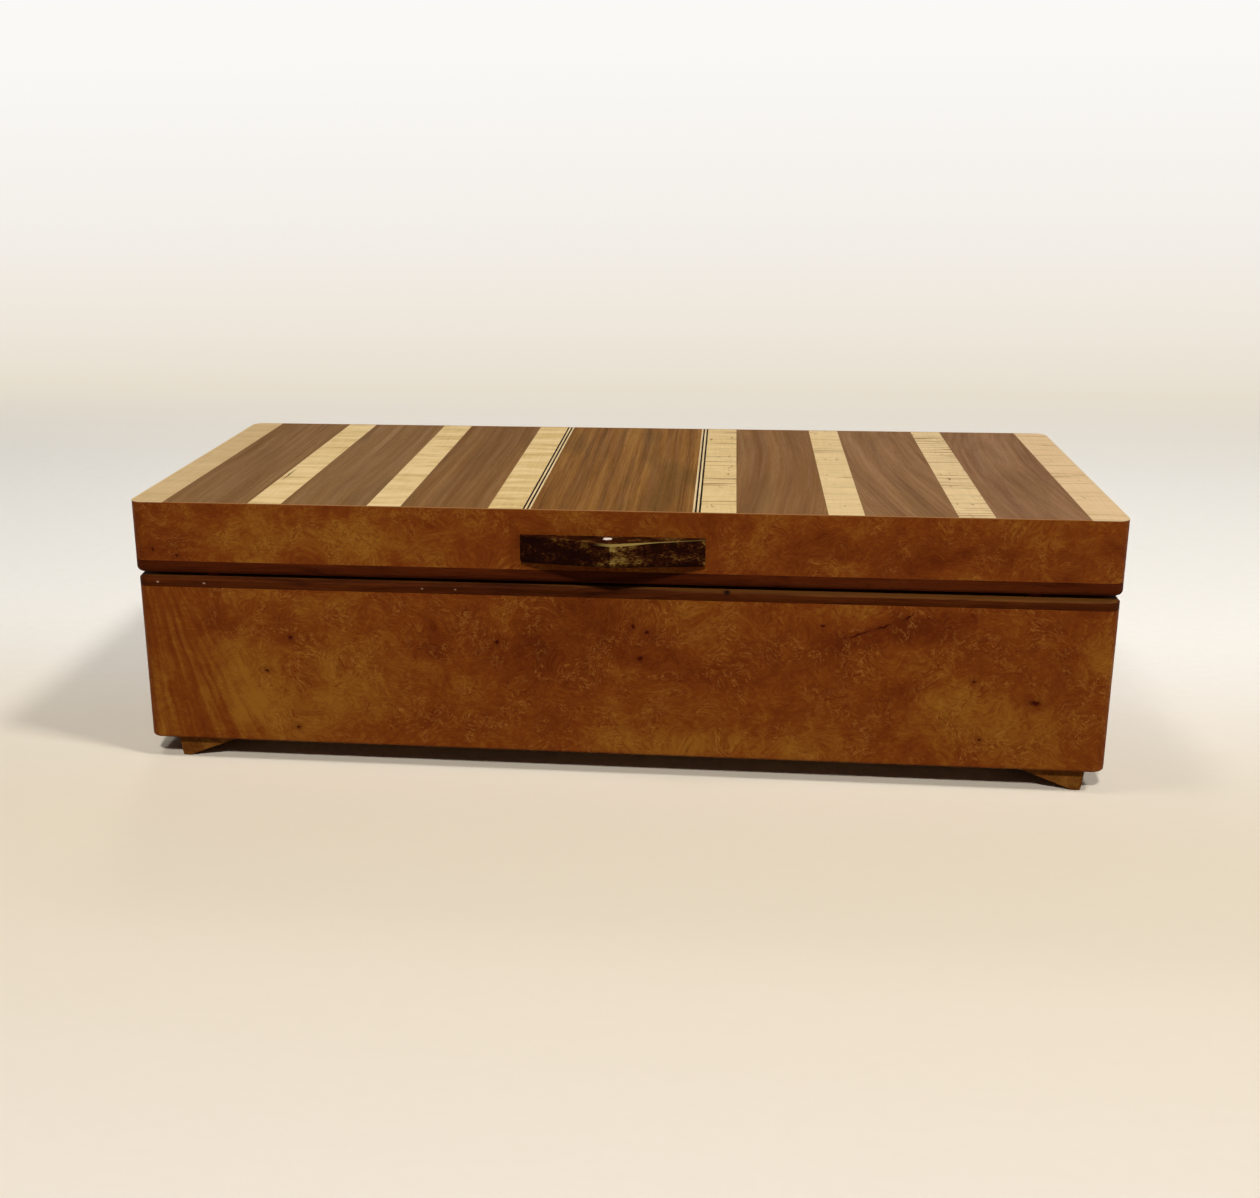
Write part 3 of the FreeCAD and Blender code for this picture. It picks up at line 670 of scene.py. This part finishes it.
@dataclass(frozen=True)
class Spalt(Finish):
    """The handle's dark burl, with olive-gold flecks, a paler face beside its ridge and a painted highlight
    along the top edge of its right facet.
    """

    dark: Colour = Colour(26, 6, 2)
    middle: Colour = Colour(52, 20, 6)
    gold: Colour = Colour(104, 74, 28)
    # shine is the brightest fleck colour and also the colour of the painted highlight along the top edge.
    shine: Colour = Colour(160, 134, 72)
    top: float = 77.7

    def figure(self, sheet: Sheet, place: Socket) -> Pair:
        """Draws the handle's figure, as Finish.figure does."""
        x, _, z = sheet.split(place)
        leaning = sheet.sway(place, 5.0, 3.0)
        blotch = sheet.grain(leaning, (0.8, 1.0, 1.3), 4.0, 3.0, 0.6)
        specks = sheet.grain(leaning, (0.6, 1.0, 1.5), 0.7, 3.0, 0.65)
        top = self.top
        facet = sheet.rise(z, top - 0.1, top - 0.3)
        right = sheet.times(sheet.rise(x, 0.2, 0.6), sheet.rise(x, 6.5, 3.0, 0.06, 1.0))
        left = sheet.times(sheet.rise(x, 0.6, 0.2), sheet.rise(x, -7.0, -3.0, -0.3, 0.22))
        side = sheet.times(sheet.sum("ADD", right, left), facet)
        tone = sheet.weigh(blotch, 1.1, -0.58)
        tone = sheet.weigh(specks, 1.05, tone)
        tone = sheet.weigh(side, 0.27, tone)
        stops = ((0.4, self.dark), (0.58, self.middle), (0.78, self.gold), (1.0, self.shine))
        colour = sheet.ramp(tone, stops)
        # Painted highlight: a thin pale gold line just under the top edge, on the right facet, strongest
        # near the ridge.
        level = sheet.sum("ADD", z, sheet.rise(x, 15.0, 4.0, 0.3, 0.85))
        upper = sheet.rise(level, top - 0.12, top + 0.12)
        rim = sheet.times(upper, sheet.rise(z, top - 0.01, top - 0.1))
        painted_highlight = sheet.times(rim, sheet.rise(x, -5.0, 0.6, 0.0, 1.0))
        painted_highlight = sheet.times(painted_highlight, sheet.rise(x, 28.0, 12.0, 0.3, 1.0))
        colour = sheet.mix(painted_highlight, colour, self.shine)
        return colour, specks


@dataclass(frozen=True)
class Felt(Finish):
    """Pressed wool: a short matted nap with paler and darker fibres."""

    dark: Colour = Colour(64, 16, 18)
    light: Colour = Colour(104, 34, 34)

    def figure(self, sheet: Sheet, place: Socket) -> Pair:
        """Draws the nap, as Finish.figure does."""
        fibres = sheet.noise(sheet.sway(place, 1.1, 1.4), 0.4, 3.0, 0.7)
        patches = sheet.noise(place, 9.0, 3.0)
        tone = sheet.weigh(fibres, 1.1, sheet.weigh(patches, 0.5, -0.3))
        return sheet.ramp(tone, ((0.25, self.dark), (0.75, self.light))), fibres


@dataclass(frozen=True)
class Brass(Finish):
    """Rubbed brass with fine draw lines and a little tarnish."""

    bright: Colour = Colour(214, 178, 104)
    dull: Colour = Colour(158, 120, 62)

    def figure(self, sheet: Sheet, place: Socket) -> Pair:
        """Draws the metal, as Finish.figure does."""
        lines = sheet.grain(place, (0.05, 1.0, 1.0), 0.16, 2.0)
        stain = sheet.rise(sheet.noise(place, 4.0, 3.0), 0.42, 0.7)
        colour = sheet.mix(stain, self.bright, self.dull)
        return colour, lines


CASE_BURL = Burl(
    "case_burl",
    bump=0.2,
    fan=Fan(left=-149.6, top=58.1, spread=0.03, width=25.0, fade=14.0),
    golds=(
        Cloud(-94.0, 20.0, 44.0, 22.0, weight=0.2),
        Cloud(-116.0, 28.0, 13.0, 27.0, 20.0, weight=0.2),
        Cloud(-92.0, 52.0, 12.0, 7.0, weight=0.14),
        Cloud(112.0, 22.0, 42.0, 18.0, weight=0.16),
        Cloud(145.0, 46.0, 12.0, 14.0, weight=0.2),
        Cloud(20.0, 11.0, 80.0, 8.0, weight=0.12),
    ),
    reds=(
        Cloud(10.0, 34.0, 42.0, 16.0, weight=0.08),
        Cloud(-124.0, 47.0, 13.0, 9.0, 10.0, weight=0.18),
        Cloud(-56.0, 42.0, 10.0, 7.0, weight=0.12),
        Cloud(-26.0, 38.0, 26.0, 18.0, weight=0.16),
        Cloud(10.0, 44.0, 20.0, 12.0, weight=0.2),
        Cloud(70.0, 42.0, 12.0, 14.0, 30.0, weight=0.16),
        Cloud(88.0, 51.0, 30.0, 9.0, 12.0, weight=0.26),
    ),
    eyes=(
        Spot(-100.9, 42.3, 1.1, 0.9),
        Spot(-109.1, 31.0, 0.9, 0.7),
        Spot(-99.8, 12.3, 0.9, 0.8),
        Spot(-35.2, 42.8, 1.2, 1.2),
        Spot(6.8, 49.3, 1.1, 1.1),
        Spot(11.1, 47.5, 1.0, 1.0),
        Spot(9.0, 39.0, 1.3, 1.3),
        Spot(109.0, 35.0, 0.9, 0.7),
        Spot(111.7, 16.4, 0.8, 0.7),
        Spot(127.2, 28.7, 2.3, 1.4, -8.0),
        Spot(75.0, 49.0, 5.2, 0.5, 20.0),
        Spot(81.5, 51.4, 3.4, 0.5, 16.0),
        Spot(88.7, 54.6, 2.0, 0.5, 38.0),
        Spot(63.8, 51.3, 1.0, 0.6, 40.0),
    ),
)
LID_BURL = Burl(
    "lid_burl",
    bump=0.18,
    cloud_size=20.0,
    fleck_share=0.3,
    # The arris just under 85.5 mm gets the painted highlight.
    rim_level=85.5,
    golds=(
        Cloud(-95.0, 74.0, 55.0, 12.0, weight=0.17, y=LID_FRONT),
        Cloud(-112.0, 67.0, 10.0, 3.0, weight=0.18, y=LID_FRONT),
        Cloud(142.0, 74.0, 12.0, 14.0, weight=0.18, y=LID_FRONT),
        Cloud(72.0, 80.0, 8.0, 6.0, weight=0.18, y=LID_FRONT),
    ),
    reds=(
        Cloud(140.0, 76.0, 16.0, 13.0, weight=0.12, y=LID_FRONT),
        Cloud(-134.0, 72.0, 14.0, 8.0, -20.0, weight=0.18, y=LID_FRONT),
        Cloud(100.0, 74.0, 40.0, 9.0, weight=0.16, y=LID_FRONT),
    ),
    eyes=(
        Spot(-143.2, 70.3, 0.8, 0.8, y=LID_FRONT),
        Spot(-135.6, 68.6, 0.8, 0.7, y=LID_FRONT),
    ),
)
LIP_LONG = Straight(
    "lid_lip_long",
    dark=Colour(46, 15, 4), middle=Colour(76, 29, 7), light=Colour(90, 40, 13),
    edge=0.35, gloss=0.02,
)
LIP_SHORT = replace(LIP_LONG, name="lid_lip_short", along=Along.DEPTH, seed=31.0)
CASE_LIP_LONG = Straight(
    "case_lip_long",
    dark=Colour(44, 15, 4), middle=Colour(76, 32, 8), light=Colour(92, 44, 15),
    seed=12.0, pale_edge=0.7, edge=0.35, gloss=0.02,
    marks=(Spot(35.0, 60.8, 1.5, 0.9),),
    chips=(
        Spot(-142.6, 59.6, 0.6, 0.45),
        Spot(-127.6, 59.5, 0.7, 0.4),
        Spot(-58.2, 59.6, 0.6, 0.35, weight=0.6),
        Spot(-47.9, 59.6, 0.6, 0.35, weight=0.6),
    ),
)
CASE_LIP_SHORT = replace(
    CASE_LIP_LONG,
    name="case_lip_short", along=Along.DEPTH, seed=47.0, pale_edge=0.6, marks=(), chips=(),
)
FOOT_WOOD = Straight(
    "foot_cherry", along=Along.DEPTH,
    dark=Colour(95, 51, 14), middle=Colour(122, 72, 24), light=Colour(149, 97, 38),
    streak=1.2, edge=0.3,
)
PLYWOOD = Straight(
    "birch_ply",
    dark=Colour(168, 132, 88), middle=Colour(192, 158, 112), light=Colour(210, 180, 136),
    streak=2.6, pores=0.25, rough=0.6, gloss=0.2,
)
DOWEL_WOOD = Straight(
    "beech_dowel", along=Along.DEPTH,
    dark=Colour(164, 122, 80), middle=Colour(190, 148, 104), light=Colour(208, 170, 126),
    streak=0.8, rough=0.6,
)
BLACK_LINE = Straight(
    "black_veneer_line", along=Along.DEPTH,
    dark=Colour(16, 7, 1), middle=Colour(27, 13, 3), light=Colour(42, 23, 8),
    streak=0.5, pores=0.2, gloss=0.005,
)
WHITE_LINE = Straight(
    "white_veneer_line", along=Along.DEPTH,
    dark=Colour(198, 168, 120), middle=Colour(218, 190, 142), light=Colour(230, 205, 160),
    streak=0.6, pores=0.1, gloss=0.01,
)
INLAY = Straight(
    "pale_inlay", along=Along.HEIGHT,
    dark=Colour(224, 200, 184), middle=Colour(238, 218, 204), light=Colour(248, 234, 222),
    streak=0.4, pores=0.1, rough=0.3, gloss=0.4,
)
HANDLE_WOOD = Spalt("handle_spalt", rough=0.42, gloss=0.02, edge=0.3, bump=0.2)
WINE_FELT = Felt("wine_felt", rough=0.95, rough_swing=0.03, gloss=0.01, bump=0.7, bump_depth=0.25)
RUBBED_BRASS = Brass("rubbed_brass", rough=0.3, gloss=0.5, metal=1.0, bump=0.1, bump_depth=0.01)

WALNUTS = (
    Walnut("walnut_1", seed=1.0, middle_x=-125.4, patches=0.3),
    Walnut("walnut_2", seed=2.0, middle_x=-88.0, middle=Colour(124, 89, 50), patches=0.45),
    Walnut(
        "walnut_3", seed=3.0, middle_x=-50.6,
        dark=Colour(104, 66, 30), middle=Colour(121, 83, 42), light=Colour(138, 98, 54),
        patches=0.6,
    ),
    Walnut(
        "walnut_4", seed=4.0,
        dark=Colour(92, 55, 15), middle=Colour(119, 76, 28), light=Colour(142, 97, 41),
        shadow=Colour(76, 52, 12), streak=0.6, contrast=0.85, bow=2.0, patches=0.4,
    ),
    Walnut(
        "walnut_5", seed=5.0, middle_x=46.0,
        dark=Colour(106, 68, 34), middle=Colour(124, 85, 47), light=Colour(140, 100, 59),
        contrast=0.75, bow=5.0, bend=2.0, bend_y=40.0, patches=0.3,
    ),
    Walnut(
        "walnut_6", seed=6.0, middle_x=90.0,
        dark=Colour(112, 75, 45), middle=Colour(131, 94, 59), light=Colour(148, 109, 73),
        arches=0.08, arch_reach=120.0, contrast=0.75, bow=5.0, bend=-3.0, bend_y=60.0,
    ),
    Walnut(
        "walnut_7", seed=7.0, middle_x=122.0,
        dark=Colour(112, 75, 48), middle=Colour(131, 94, 62), light=Colour(149, 110, 77),
        arches=0.08, arch_reach=110.0, contrast=0.75, bow=5.0, bend=-3.5, bend_y=10.0, patches=0.3,
    ),
)
SPLIT_MARK = (Spot(-110.5, 85.5, 0.55, 6.0, deep=11.0, weight=0.9, y=-19.3),)
MAPLES = (
    Maple("maple_1", seed=1.0, curl=0.3, pale=Colour(206, 176, 129), middle=Colour(192, 161, 113)),
    Maple("maple_2", seed=2.0, curl=0.8, marks=SPLIT_MARK),
    Maple("maple_3", seed=3.0, curl=0.85),
    Maple("maple_4", seed=4.0, curl=0.85, middle=Colour(209, 178, 119)),
    Maple("maple_5", seed=5.0, curl=0.4, crackle=0.8),
    Maple("maple_6", seed=6.0, curl=0.35, crackle=0.45, middle=Colour(213, 184, 134)),
    Maple("maple_7", seed=7.0, curl=0.35, crackle=1.0, middle=Colour(211, 182, 136)),
    Maple(
        "maple_8", seed=8.0, curl=0.25, crackle=0.45,
        pale=Colour(222, 189, 146), middle=Colour(211, 178, 133),
    ),
)


@dataclass
class Part:
    """A sub-assembly: the nodes that it dresses, and the body they ride on."""

    nodes: dict[str, bpy.types.Object]
    body: Body
    dressed: list[str] = field(default_factory=list)

    def dress(self, finish: Finish, *names: str) -> None:
        """Gives one finish to nodes of the frame.

        Args:
            finish: the finish.
            *names: the nodes' names.
        """
        made = finish.material()
        for name in names:
            slots = self.nodes[name].material_slots
            for slot in slots:
                slot.material = made
            if not slots:
                self.nodes[name].data.materials.append(made)
            self.dressed.append(name)
            LOG.info("%s: %s wears %s", self.body.value, name, finish.name)


class Tree:
    """A Geometry Nodes tree that is made into a plain mesh."""

    def __init__(self, name: str) -> None:
        """Starts an empty tree with a geometry output.

        Args:
            name: the tree's name.
        """
        self.group = bpy.data.node_groups.new(name, "GeometryNodeTree")
        self.group.interface.new_socket("Geometry", in_out="OUTPUT", socket_type="NodeSocketGeometry")
        self.inputs = self.group.nodes.new("NodeGroupInput")
        self.output = self.group.nodes.new("NodeGroupOutput")
        self.sheet = Sheet(self.group)
        self.values: dict[str, Feed] = {}

    def size(self, name: str, value: Feed, kind: str = "NodeSocketFloat") -> Socket:
        """Adds a named input to the tree.

        Args:
            name: the input's name.
            value: what the modifier sets it to.
            kind: the input's socket type.

        Returns:
            The input's socket inside the tree.
        """
        item = self.group.interface.new_socket(name, in_out="INPUT", socket_type=kind)
        self.values[item.identifier] = value
        return self.inputs.outputs[name]

    def mesh(self, piece: str, geometry: Socket, material: bpy.types.Material) -> bpy.types.Object:
        """Closes the tree, runs it and keeps the result as a plain mesh.

        Args:
            piece: the new object's name.
            geometry: the tree's last geometry.
            material: what the piece is made of.

        Returns:
            The new object, at the origin, with no modifier.
        """
        real = self.sheet.add("GeometryNodeRealizeInstances", {0: geometry}).outputs[0]
        feeds = {"Geometry": real, "Material": material}
        dressed = self.sheet.add("GeometryNodeSetMaterial", feeds).outputs[0]
        self.group.links.new(dressed, self.output.inputs[0])
        carrier = show(piece, bpy.data.meshes.new(piece))
        modifier = carrier.modifiers.new("maker", "NODES")
        modifier.node_group = self.group
        for identifier, value in self.values.items():
            modifier[identifier] = value
        bpy.context.view_layer.update()
        shaped = carrier.evaluated_get(bpy.context.evaluated_depsgraph_get())
        plain = bpy.data.meshes.new_from_object(shaped)
        carrier.modifiers.remove(modifier)
        carrier.data = plain
        return carrier


@dataclass
class FeltSheet:
    """A sheet of felt cut to a flat CAD solid's length and width."""

    piece: str
    node: str
    rests_on: str
    material: bpy.types.Material
    faces_up: bool = True
    cell: float = 3.0 * MM
    nap: float = 0.16 * MM
    nap_size: float = 2.5 * MM
    edge_round: float = 0.4 * MM

    def build(self, body: Body) -> bpy.types.Object:
        """Makes the felt and stands it for its CAD solid.

        Args:
            body: the body that it rides on.

        Returns:
            The felt's object.
        """
        low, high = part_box(self.node)
        span = high - low
        tree = Tree(self.piece)
        sheet = tree.sheet
        add = sheet.add
        length = tree.size("Length", span.x)
        width = tree.size("Width", span.y)
        thick = tree.size("Thickness", span.z - self.nap)
        centre = tree.size("Centre", tuple((low + high) / 2.0), "NodeSocketVector")
        nap = tree.size("Nap", self.nap)
        grain = tree.size("Nap scale", 1.0 / self.nap_size)
        across = tree.size("Cells across", max(2, round(span.x / self.cell)), "NodeSocketInt")
        deep = tree.size("Cells deep", max(2, round(span.y / self.cell)), "NodeSocketInt")
        size = sheet.join(length, width, thick)
        cells = {"Size": size, "Vertices X": across, "Vertices Y": deep, "Vertices Z": 3}
        block = add("GeometryNodeMeshCube", cells).outputs[0]
        spot = add("GeometryNodeInputPosition").outputs[0]
        x, y, z = sheet.split(spot)
        side = 1.0 if self.faces_up else -1.0
        shown = sheet.sum("GREATER_THAN", sheet.times(z, side), NEAR_ZERO)
        fuzz = add("ShaderNodeTexNoise", {"Vector": spot, "Scale": grain, "Detail": 3.0}).outputs[0]
        lift = sheet.times(sheet.sum("SUBTRACT", fuzz, 0.5), nap)
        lift = sheet.times(sheet.times(lift, shown), side)
        over = [
            sheet.sum("GREATER_THAN", sheet.sum("ABSOLUTE", part), sheet.weigh(whole, 0.5, -self.edge_round))
            for part, whole in ((x, length), (y, width))
        ]
        rim = sheet.sum("MAXIMUM", *over)
        sink = sheet.times(sheet.times(rim, shown), -side * self.edge_round)
        offset = sheet.join(0.0, 0.0, sheet.sum("ADD", lift, sink))
        napped = add("GeometryNodeSetPosition", {"Geometry": block, "Offset": offset}).outputs[0]
        placed = add("GeometryNodeTransform", {"Geometry": napped, "Translation": centre}).outputs[0]
        soft = add("GeometryNodeSetShadeSmooth", {"Geometry": placed, "Shade Smooth": True}).outputs[0]
        made = tree.mesh(self.piece, soft, self.material)
        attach(made, body.value)
        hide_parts(self.node)
        LOG.info("%s: %s is a felt of %.1f by %.1f mm", body.value, self.piece, span.x / MM, span.y / MM)
        return made


@dataclass
class ClosingPads:
    """The two small felt buttons that soften the lid's closing."""

    node: str
    material: bpy.types.Material
    radius: float = 3.0 * MM
    dome: float = 0.12 * MM

    def build(self, body: Body) -> bpy.types.Object:
        """Makes one button and stands it near each end of the front lip.

        Args:
            body: the body that they ride on.

        Returns:
            The buttons' object.
        """
        low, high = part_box(self.node)
        tree = Tree("closing_buttons")
        sheet = tree.sheet
        add = sheet.add
        centre = (low + high) / 2.0
        first = tree.size("First", (low.x + self.radius, centre.y, centre.z), "NodeSocketVector")
        last = tree.size("Last", (high.x - self.radius, centre.y, centre.z), "NodeSocketVector")
        radius = tree.size("Radius", self.radius)
        tall = tree.size("Height", high.z - low.z)
        dome = tree.size("Dome", self.dome)
        stations = {"Count": 2, "Start Location": first, "Offset": last}
        row = add("GeometryNodeMeshLine", stations, mode="END_POINTS").outputs[0]
        spots = add("GeometryNodeMeshToPoints", {"Mesh": row}).outputs[0]
        shape = {"Vertices": 36, "Side Segments": 3, "Fill Segments": 4, "Radius": radius, "Depth": tall}
        drum = add("GeometryNodeMeshCylinder", shape, fill_type="TRIANGLE_FAN").outputs[0]
        place = add("GeometryNodeInputPosition").outputs[0]
        x, y, z = sheet.split(place)
        out = sheet.sum("DIVIDE", sheet.length(sheet.join(x, y, 0.0)), radius)
        curve = sheet.sum("POWER", out, 4.0)
        upper = sheet.sum("GREATER_THAN", z, NEAR_ZERO)
        sink = sheet.times(sheet.times(curve, upper), dome)
        offset = sheet.join(0.0, 0.0, sheet.times(sink, -1.0))
        domed = add("GeometryNodeSetPosition", {"Geometry": drum, "Offset": offset}).outputs[0]
        set_out = add("GeometryNodeInstanceOnPoints", {"Points": spots, "Instance": domed}).outputs[0]
        made = tree.mesh("closing_buttons", set_out, self.material)
        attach(made, body.value)
        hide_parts(self.node)
        LOG.info("%s: closing_buttons stand for %s", body.value, self.node)
        return made


@dataclass
class Case(Part):
    """The lower half: four mitred burl boards, a dark lip, feet and the felt on its floor."""

    def build(self) -> None:
        """Dresses every piece of the case."""
        self.dress(CASE_BURL, *(f"case_{side}_board" for side in SIDES))
        self.dress(CASE_LIP_LONG, "case_front_lip", "case_back_lip")
        self.dress(CASE_LIP_SHORT, "case_left_lip", "case_right_lip")
        feet = (f"foot_{end}_{side}" for end in ("front", "back") for side in ("left", "right"))
        self.dress(FOOT_WOOD, *feet)
        self.dress(PLYWOOD, "case_bottom")
        self.dress(RUBBED_BRASS, "hinge_left_case_leaf", "hinge_right_case_leaf", "case_hinge_screws")
        felt = WINE_FELT.material()
        FeltSheet("case_felt", "case_lining", "case_bottom", felt).build(self.body)
        ClosingPads("closing_pads", felt).build(self.body)


@dataclass
class Lid(Part):
    """The upper half: burl boards, the striped top, the handle and its felt."""

    def build(self) -> None:
        """Dresses every piece of the lid."""
        self.dress(LID_BURL, *(f"lid_{side}_board" for side in SIDES))
        self.dress(LIP_LONG, "lid_front_lip", "lid_back_lip")
        self.dress(LIP_SHORT, "lid_left_lip", "lid_right_lip")
        for number, maple in enumerate(MAPLES, start=1):
            self.dress(maple, f"maple_strip_{number}")
        for number, walnut in enumerate(WALNUTS, start=1):
            self.dress(walnut, f"walnut_strip_{number}")
        self.dress(BLACK_LINE, "black_lines_left", "black_lines_right")
        self.dress(WHITE_LINE, "white_lines_left", "white_lines_right")
        self.dress(PLYWOOD, "lid_panel")
        self.dress(HANDLE_WOOD, "handle")
        self.dress(INLAY, "handle_inlay_dot")
        self.dress(DOWEL_WOOD, "handle_dowels")
        brass = ("hinge_left_lid_leaf", "hinge_right_lid_leaf", "hinge_pins", "lid_hinge_screws")
        self.dress(RUBBED_BRASS, *brass)
        felt = WINE_FELT.material()
        FeltSheet("lid_felt", "lid_lining", "lid_panel", felt, faces_up=False).build(self.body)


@dataclass(frozen=True)
class Lamp:
    """A square soft lamp that looks at the box."""

    name: str
    towards: tuple[float, float, float]
    level: float
    side: float
    away: float = 1.8

    def hang(self) -> None:
        """Hangs the lamp, so that a white face turned to it would take its level."""
        data = bpy.data.lights.new(self.name, "AREA")
        data.shape = "SQUARE"
        data.size = self.side
        data.energy = self.level * math.pi**2 * self.away**2
        lamp = show(self.name, data)
        aim = Vector(self.towards).normalized()
        lamp.location = aim * self.away
        lamp.rotation_euler = aim.to_track_quat("Z", "Y").to_euler()


CLOTH_NEAR = Colour(231, 220, 206)
CLOTH_MIDDLE = Colour(229, 215, 192)
CLOTH_FAR = Colour(255, 250, 241)
CLOTH_THREAD = Colour(214, 198, 172)
SKY = Colour(250, 249, 246)
ROOM = (1.0, 0.98, 0.95, 1.0)
BACKDROP = (
    (0.07, Colour(231, 222, 206)),
    (0.34, Colour(238, 231, 219)),
    (0.56, Colour(243, 238, 232)),
    (0.94, SKY),
)


@dataclass
class Studio:
    """The pale sweep that the box stands on, the lamps, the world and the camera."""

    floor_half: float = 6.0
    floor_seam: float = -1.0
    sweep_start: float = 0.75
    sweep_round: float = 0.6
    sweep_steps: int = 24
    floor_fade: float = 0.6
    wall_top: float = 3.0
    world_level: float = 0.06
    bounce: float = 0.38
    sensor: float = 36.0
    lens: float = 42.82
    shift: tuple[float, float] = (0.06255, -0.02505)
    clip: tuple[float, float] = (0.01, 40.0)
    stand: tuple[float, float, float] = (0.03445, -0.49287, 0.19445)
    turn: float = 6.923
    tip: float = 16.246
    roll: float = -0.547
    lamps: tuple[Lamp, ...] = (
        Lamp("lamp_right", (0.51, -0.235, 0.855), 0.4, 0.24),
        Lamp("lamp_left", (-0.3, -0.12, 0.94), 0.12, 0.3),
        Lamp("lamp_back", (-0.2, 0.76, 0.62), 0.18, 0.5),
        Lamp("lamp_front", (0.0, -0.67, 0.74), 0.56, 0.14),
    )

    def build(self) -> None:
        """Sets up the whole studio."""
        self._sweep()
        self._world()
        for lamp in self.lamps:
            lamp.hang()
        self._camera()

    def _sweep(self) -> None:
        """Lays the floor, which turns up into the backdrop behind the box."""
        flat = (-self.floor_half, self.floor_seam, 0.0, self.sweep_start)
        line = [(y, 0.0) for y in flat]
        for step in range(1, self.sweep_steps + 1):
            turn = math.radians(90.0 * step / self.sweep_steps)
            y = self.sweep_start + self.sweep_round * math.sin(turn)
            line.append((y, self.sweep_round * (1.0 - math.cos(turn))))
        line.append((line[-1][0], self.wall_top))
        ends = (-self.floor_half, self.floor_half)
        corners = [(x, y, z) for y, z in line for x in ends]
        faces = [(2 * n, 2 * n + 1, 2 * n + 3, 2 * n + 2) for n in range(len(line) - 1)]
        mesh = bpy.data.meshes.new("sweep")
        mesh.from_pydata(corners, [], faces)
        mesh.shade_smooth()
        mesh.materials.append(self._paper())
        sweep = show("sweep", mesh)

    def _paper(self) -> bpy.types.Material:
        """Makes the sweep's cream cloth, which goes to near white far behind the box."""
        made = bpy.data.materials.new("cream_sweep")
        sheet = blank(made)
        place = sheet.millimetres()
        x, y, z = sheet.split(place)
        far = sheet.sum("ADD", y, z)
        aside = sheet.sum("ABSOLUTE", x)
        away = sheet.sum("ABSOLUTE", far)
        ahead = sheet.rise(far, -320.0, -120.0)
        beside = sheet.rise(far, -110.0, 120.0)
        colour = sheet.mix(ahead, CLOTH_NEAR, CLOTH_MIDDLE)
        colour = sheet.mix(beside, colour, CLOTH_FAR)
        weave = sheet.grain(place, (0.5, 1.0, 1.0), 3.0, 2.0)
        colour = sheet.mix(sheet.rise(weave, 0.3, 0.7, 0.0, 0.05), colour, CLOTH_THREAD)
        seen = sheet.seen()
        strength = sheet.rise(seen, 0.0, 1.0, self.bounce, 1.0)
        colour = sheet.vector("MULTIPLY", colour, sheet.join(strength, strength, strength))
        lit = sheet.add("ShaderNodeBsdfDiffuse", {"Color": colour}).outputs[0]
        distance = sheet.sum("MAXIMUM", away, sheet.times(aside, 0.8))
        back = sheet.ramp(sheet.weigh(distance, MM, -self.floor_fade), BACKDROP)
        glow = sheet.add("ShaderNodeEmission", {"Color": back, "Strength": 1.0}).outputs[0]
        gone = sheet.sum("MAXIMUM", sheet.rise(away, 350.0, 700.0), sheet.rise(aside, 800.0, 1200.0))
        share = sheet.times(seen, gone)
        both = sheet.add("ShaderNodeMixShader", {0: share, 1: lit, 2: glow}).outputs[0]
        sheet.add("ShaderNodeOutputMaterial", {"Surface": both})
        return made

    def _world(self) -> None:
        """Makes the soft light from all round, and a white sky for the camera and for shine."""
        world = bpy.data.worlds.new("soft_room")
        bpy.context.scene.world = world
        sheet = blank(world)
        room = sheet.add("ShaderNodeBackground", {"Color": ROOM, "Strength": self.world_level})
        sky = sheet.add("ShaderNodeBackground", {"Color": SKY, "Strength": 1.0})
        feeds = {0: sheet.seen(), 1: room.outputs[0], 2: sky.outputs[0]}
        both = sheet.add("ShaderNodeMixShader", feeds)
        sheet.add("ShaderNodeOutputWorld", {"Surface": both.outputs[0]})

    def _camera(self) -> None:
        """Stands the camera where the photograph was taken from."""
        data = bpy.data.cameras.new("camera")
        data.sensor_width = self.sensor
        data.lens = self.lens
        data.shift_x, data.shift_y = self.shift
        data.clip_start, data.clip_end = self.clip
        camera = show("camera", data)
        turn = Matrix.Rotation(math.radians(self.turn), 4, "Z")
        tip = Matrix.Rotation(math.radians(90.0 - self.tip), 4, "X")
        roll = Matrix.Rotation(math.radians(self.roll), 4, "Z")
        place = Matrix.Translation(self.stand)
        camera.matrix_world = place @ turn @ tip @ roll
        bpy.context.scene.camera = camera


def main() -> None:
    """Loads the frame, dresses the box and sets up the studio."""
    logging.basicConfig(level=logging.INFO, format="%(name)s %(message)s")
    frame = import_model()
    nodes: dict[str, bpy.types.Object] = frame["nodes"]
    bpy.context.scene.view_settings.view_transform = "Standard"
    case = Case(nodes, Body.CASE)
    case.build()
    lid = Lid(nodes, Body.LID)
    lid.build()
    Studio().build()
    LOG.info("dressed %d case nodes and %d lid nodes", len(case.dressed), len(lid.dressed))


if __name__ == "__main__":
    main()
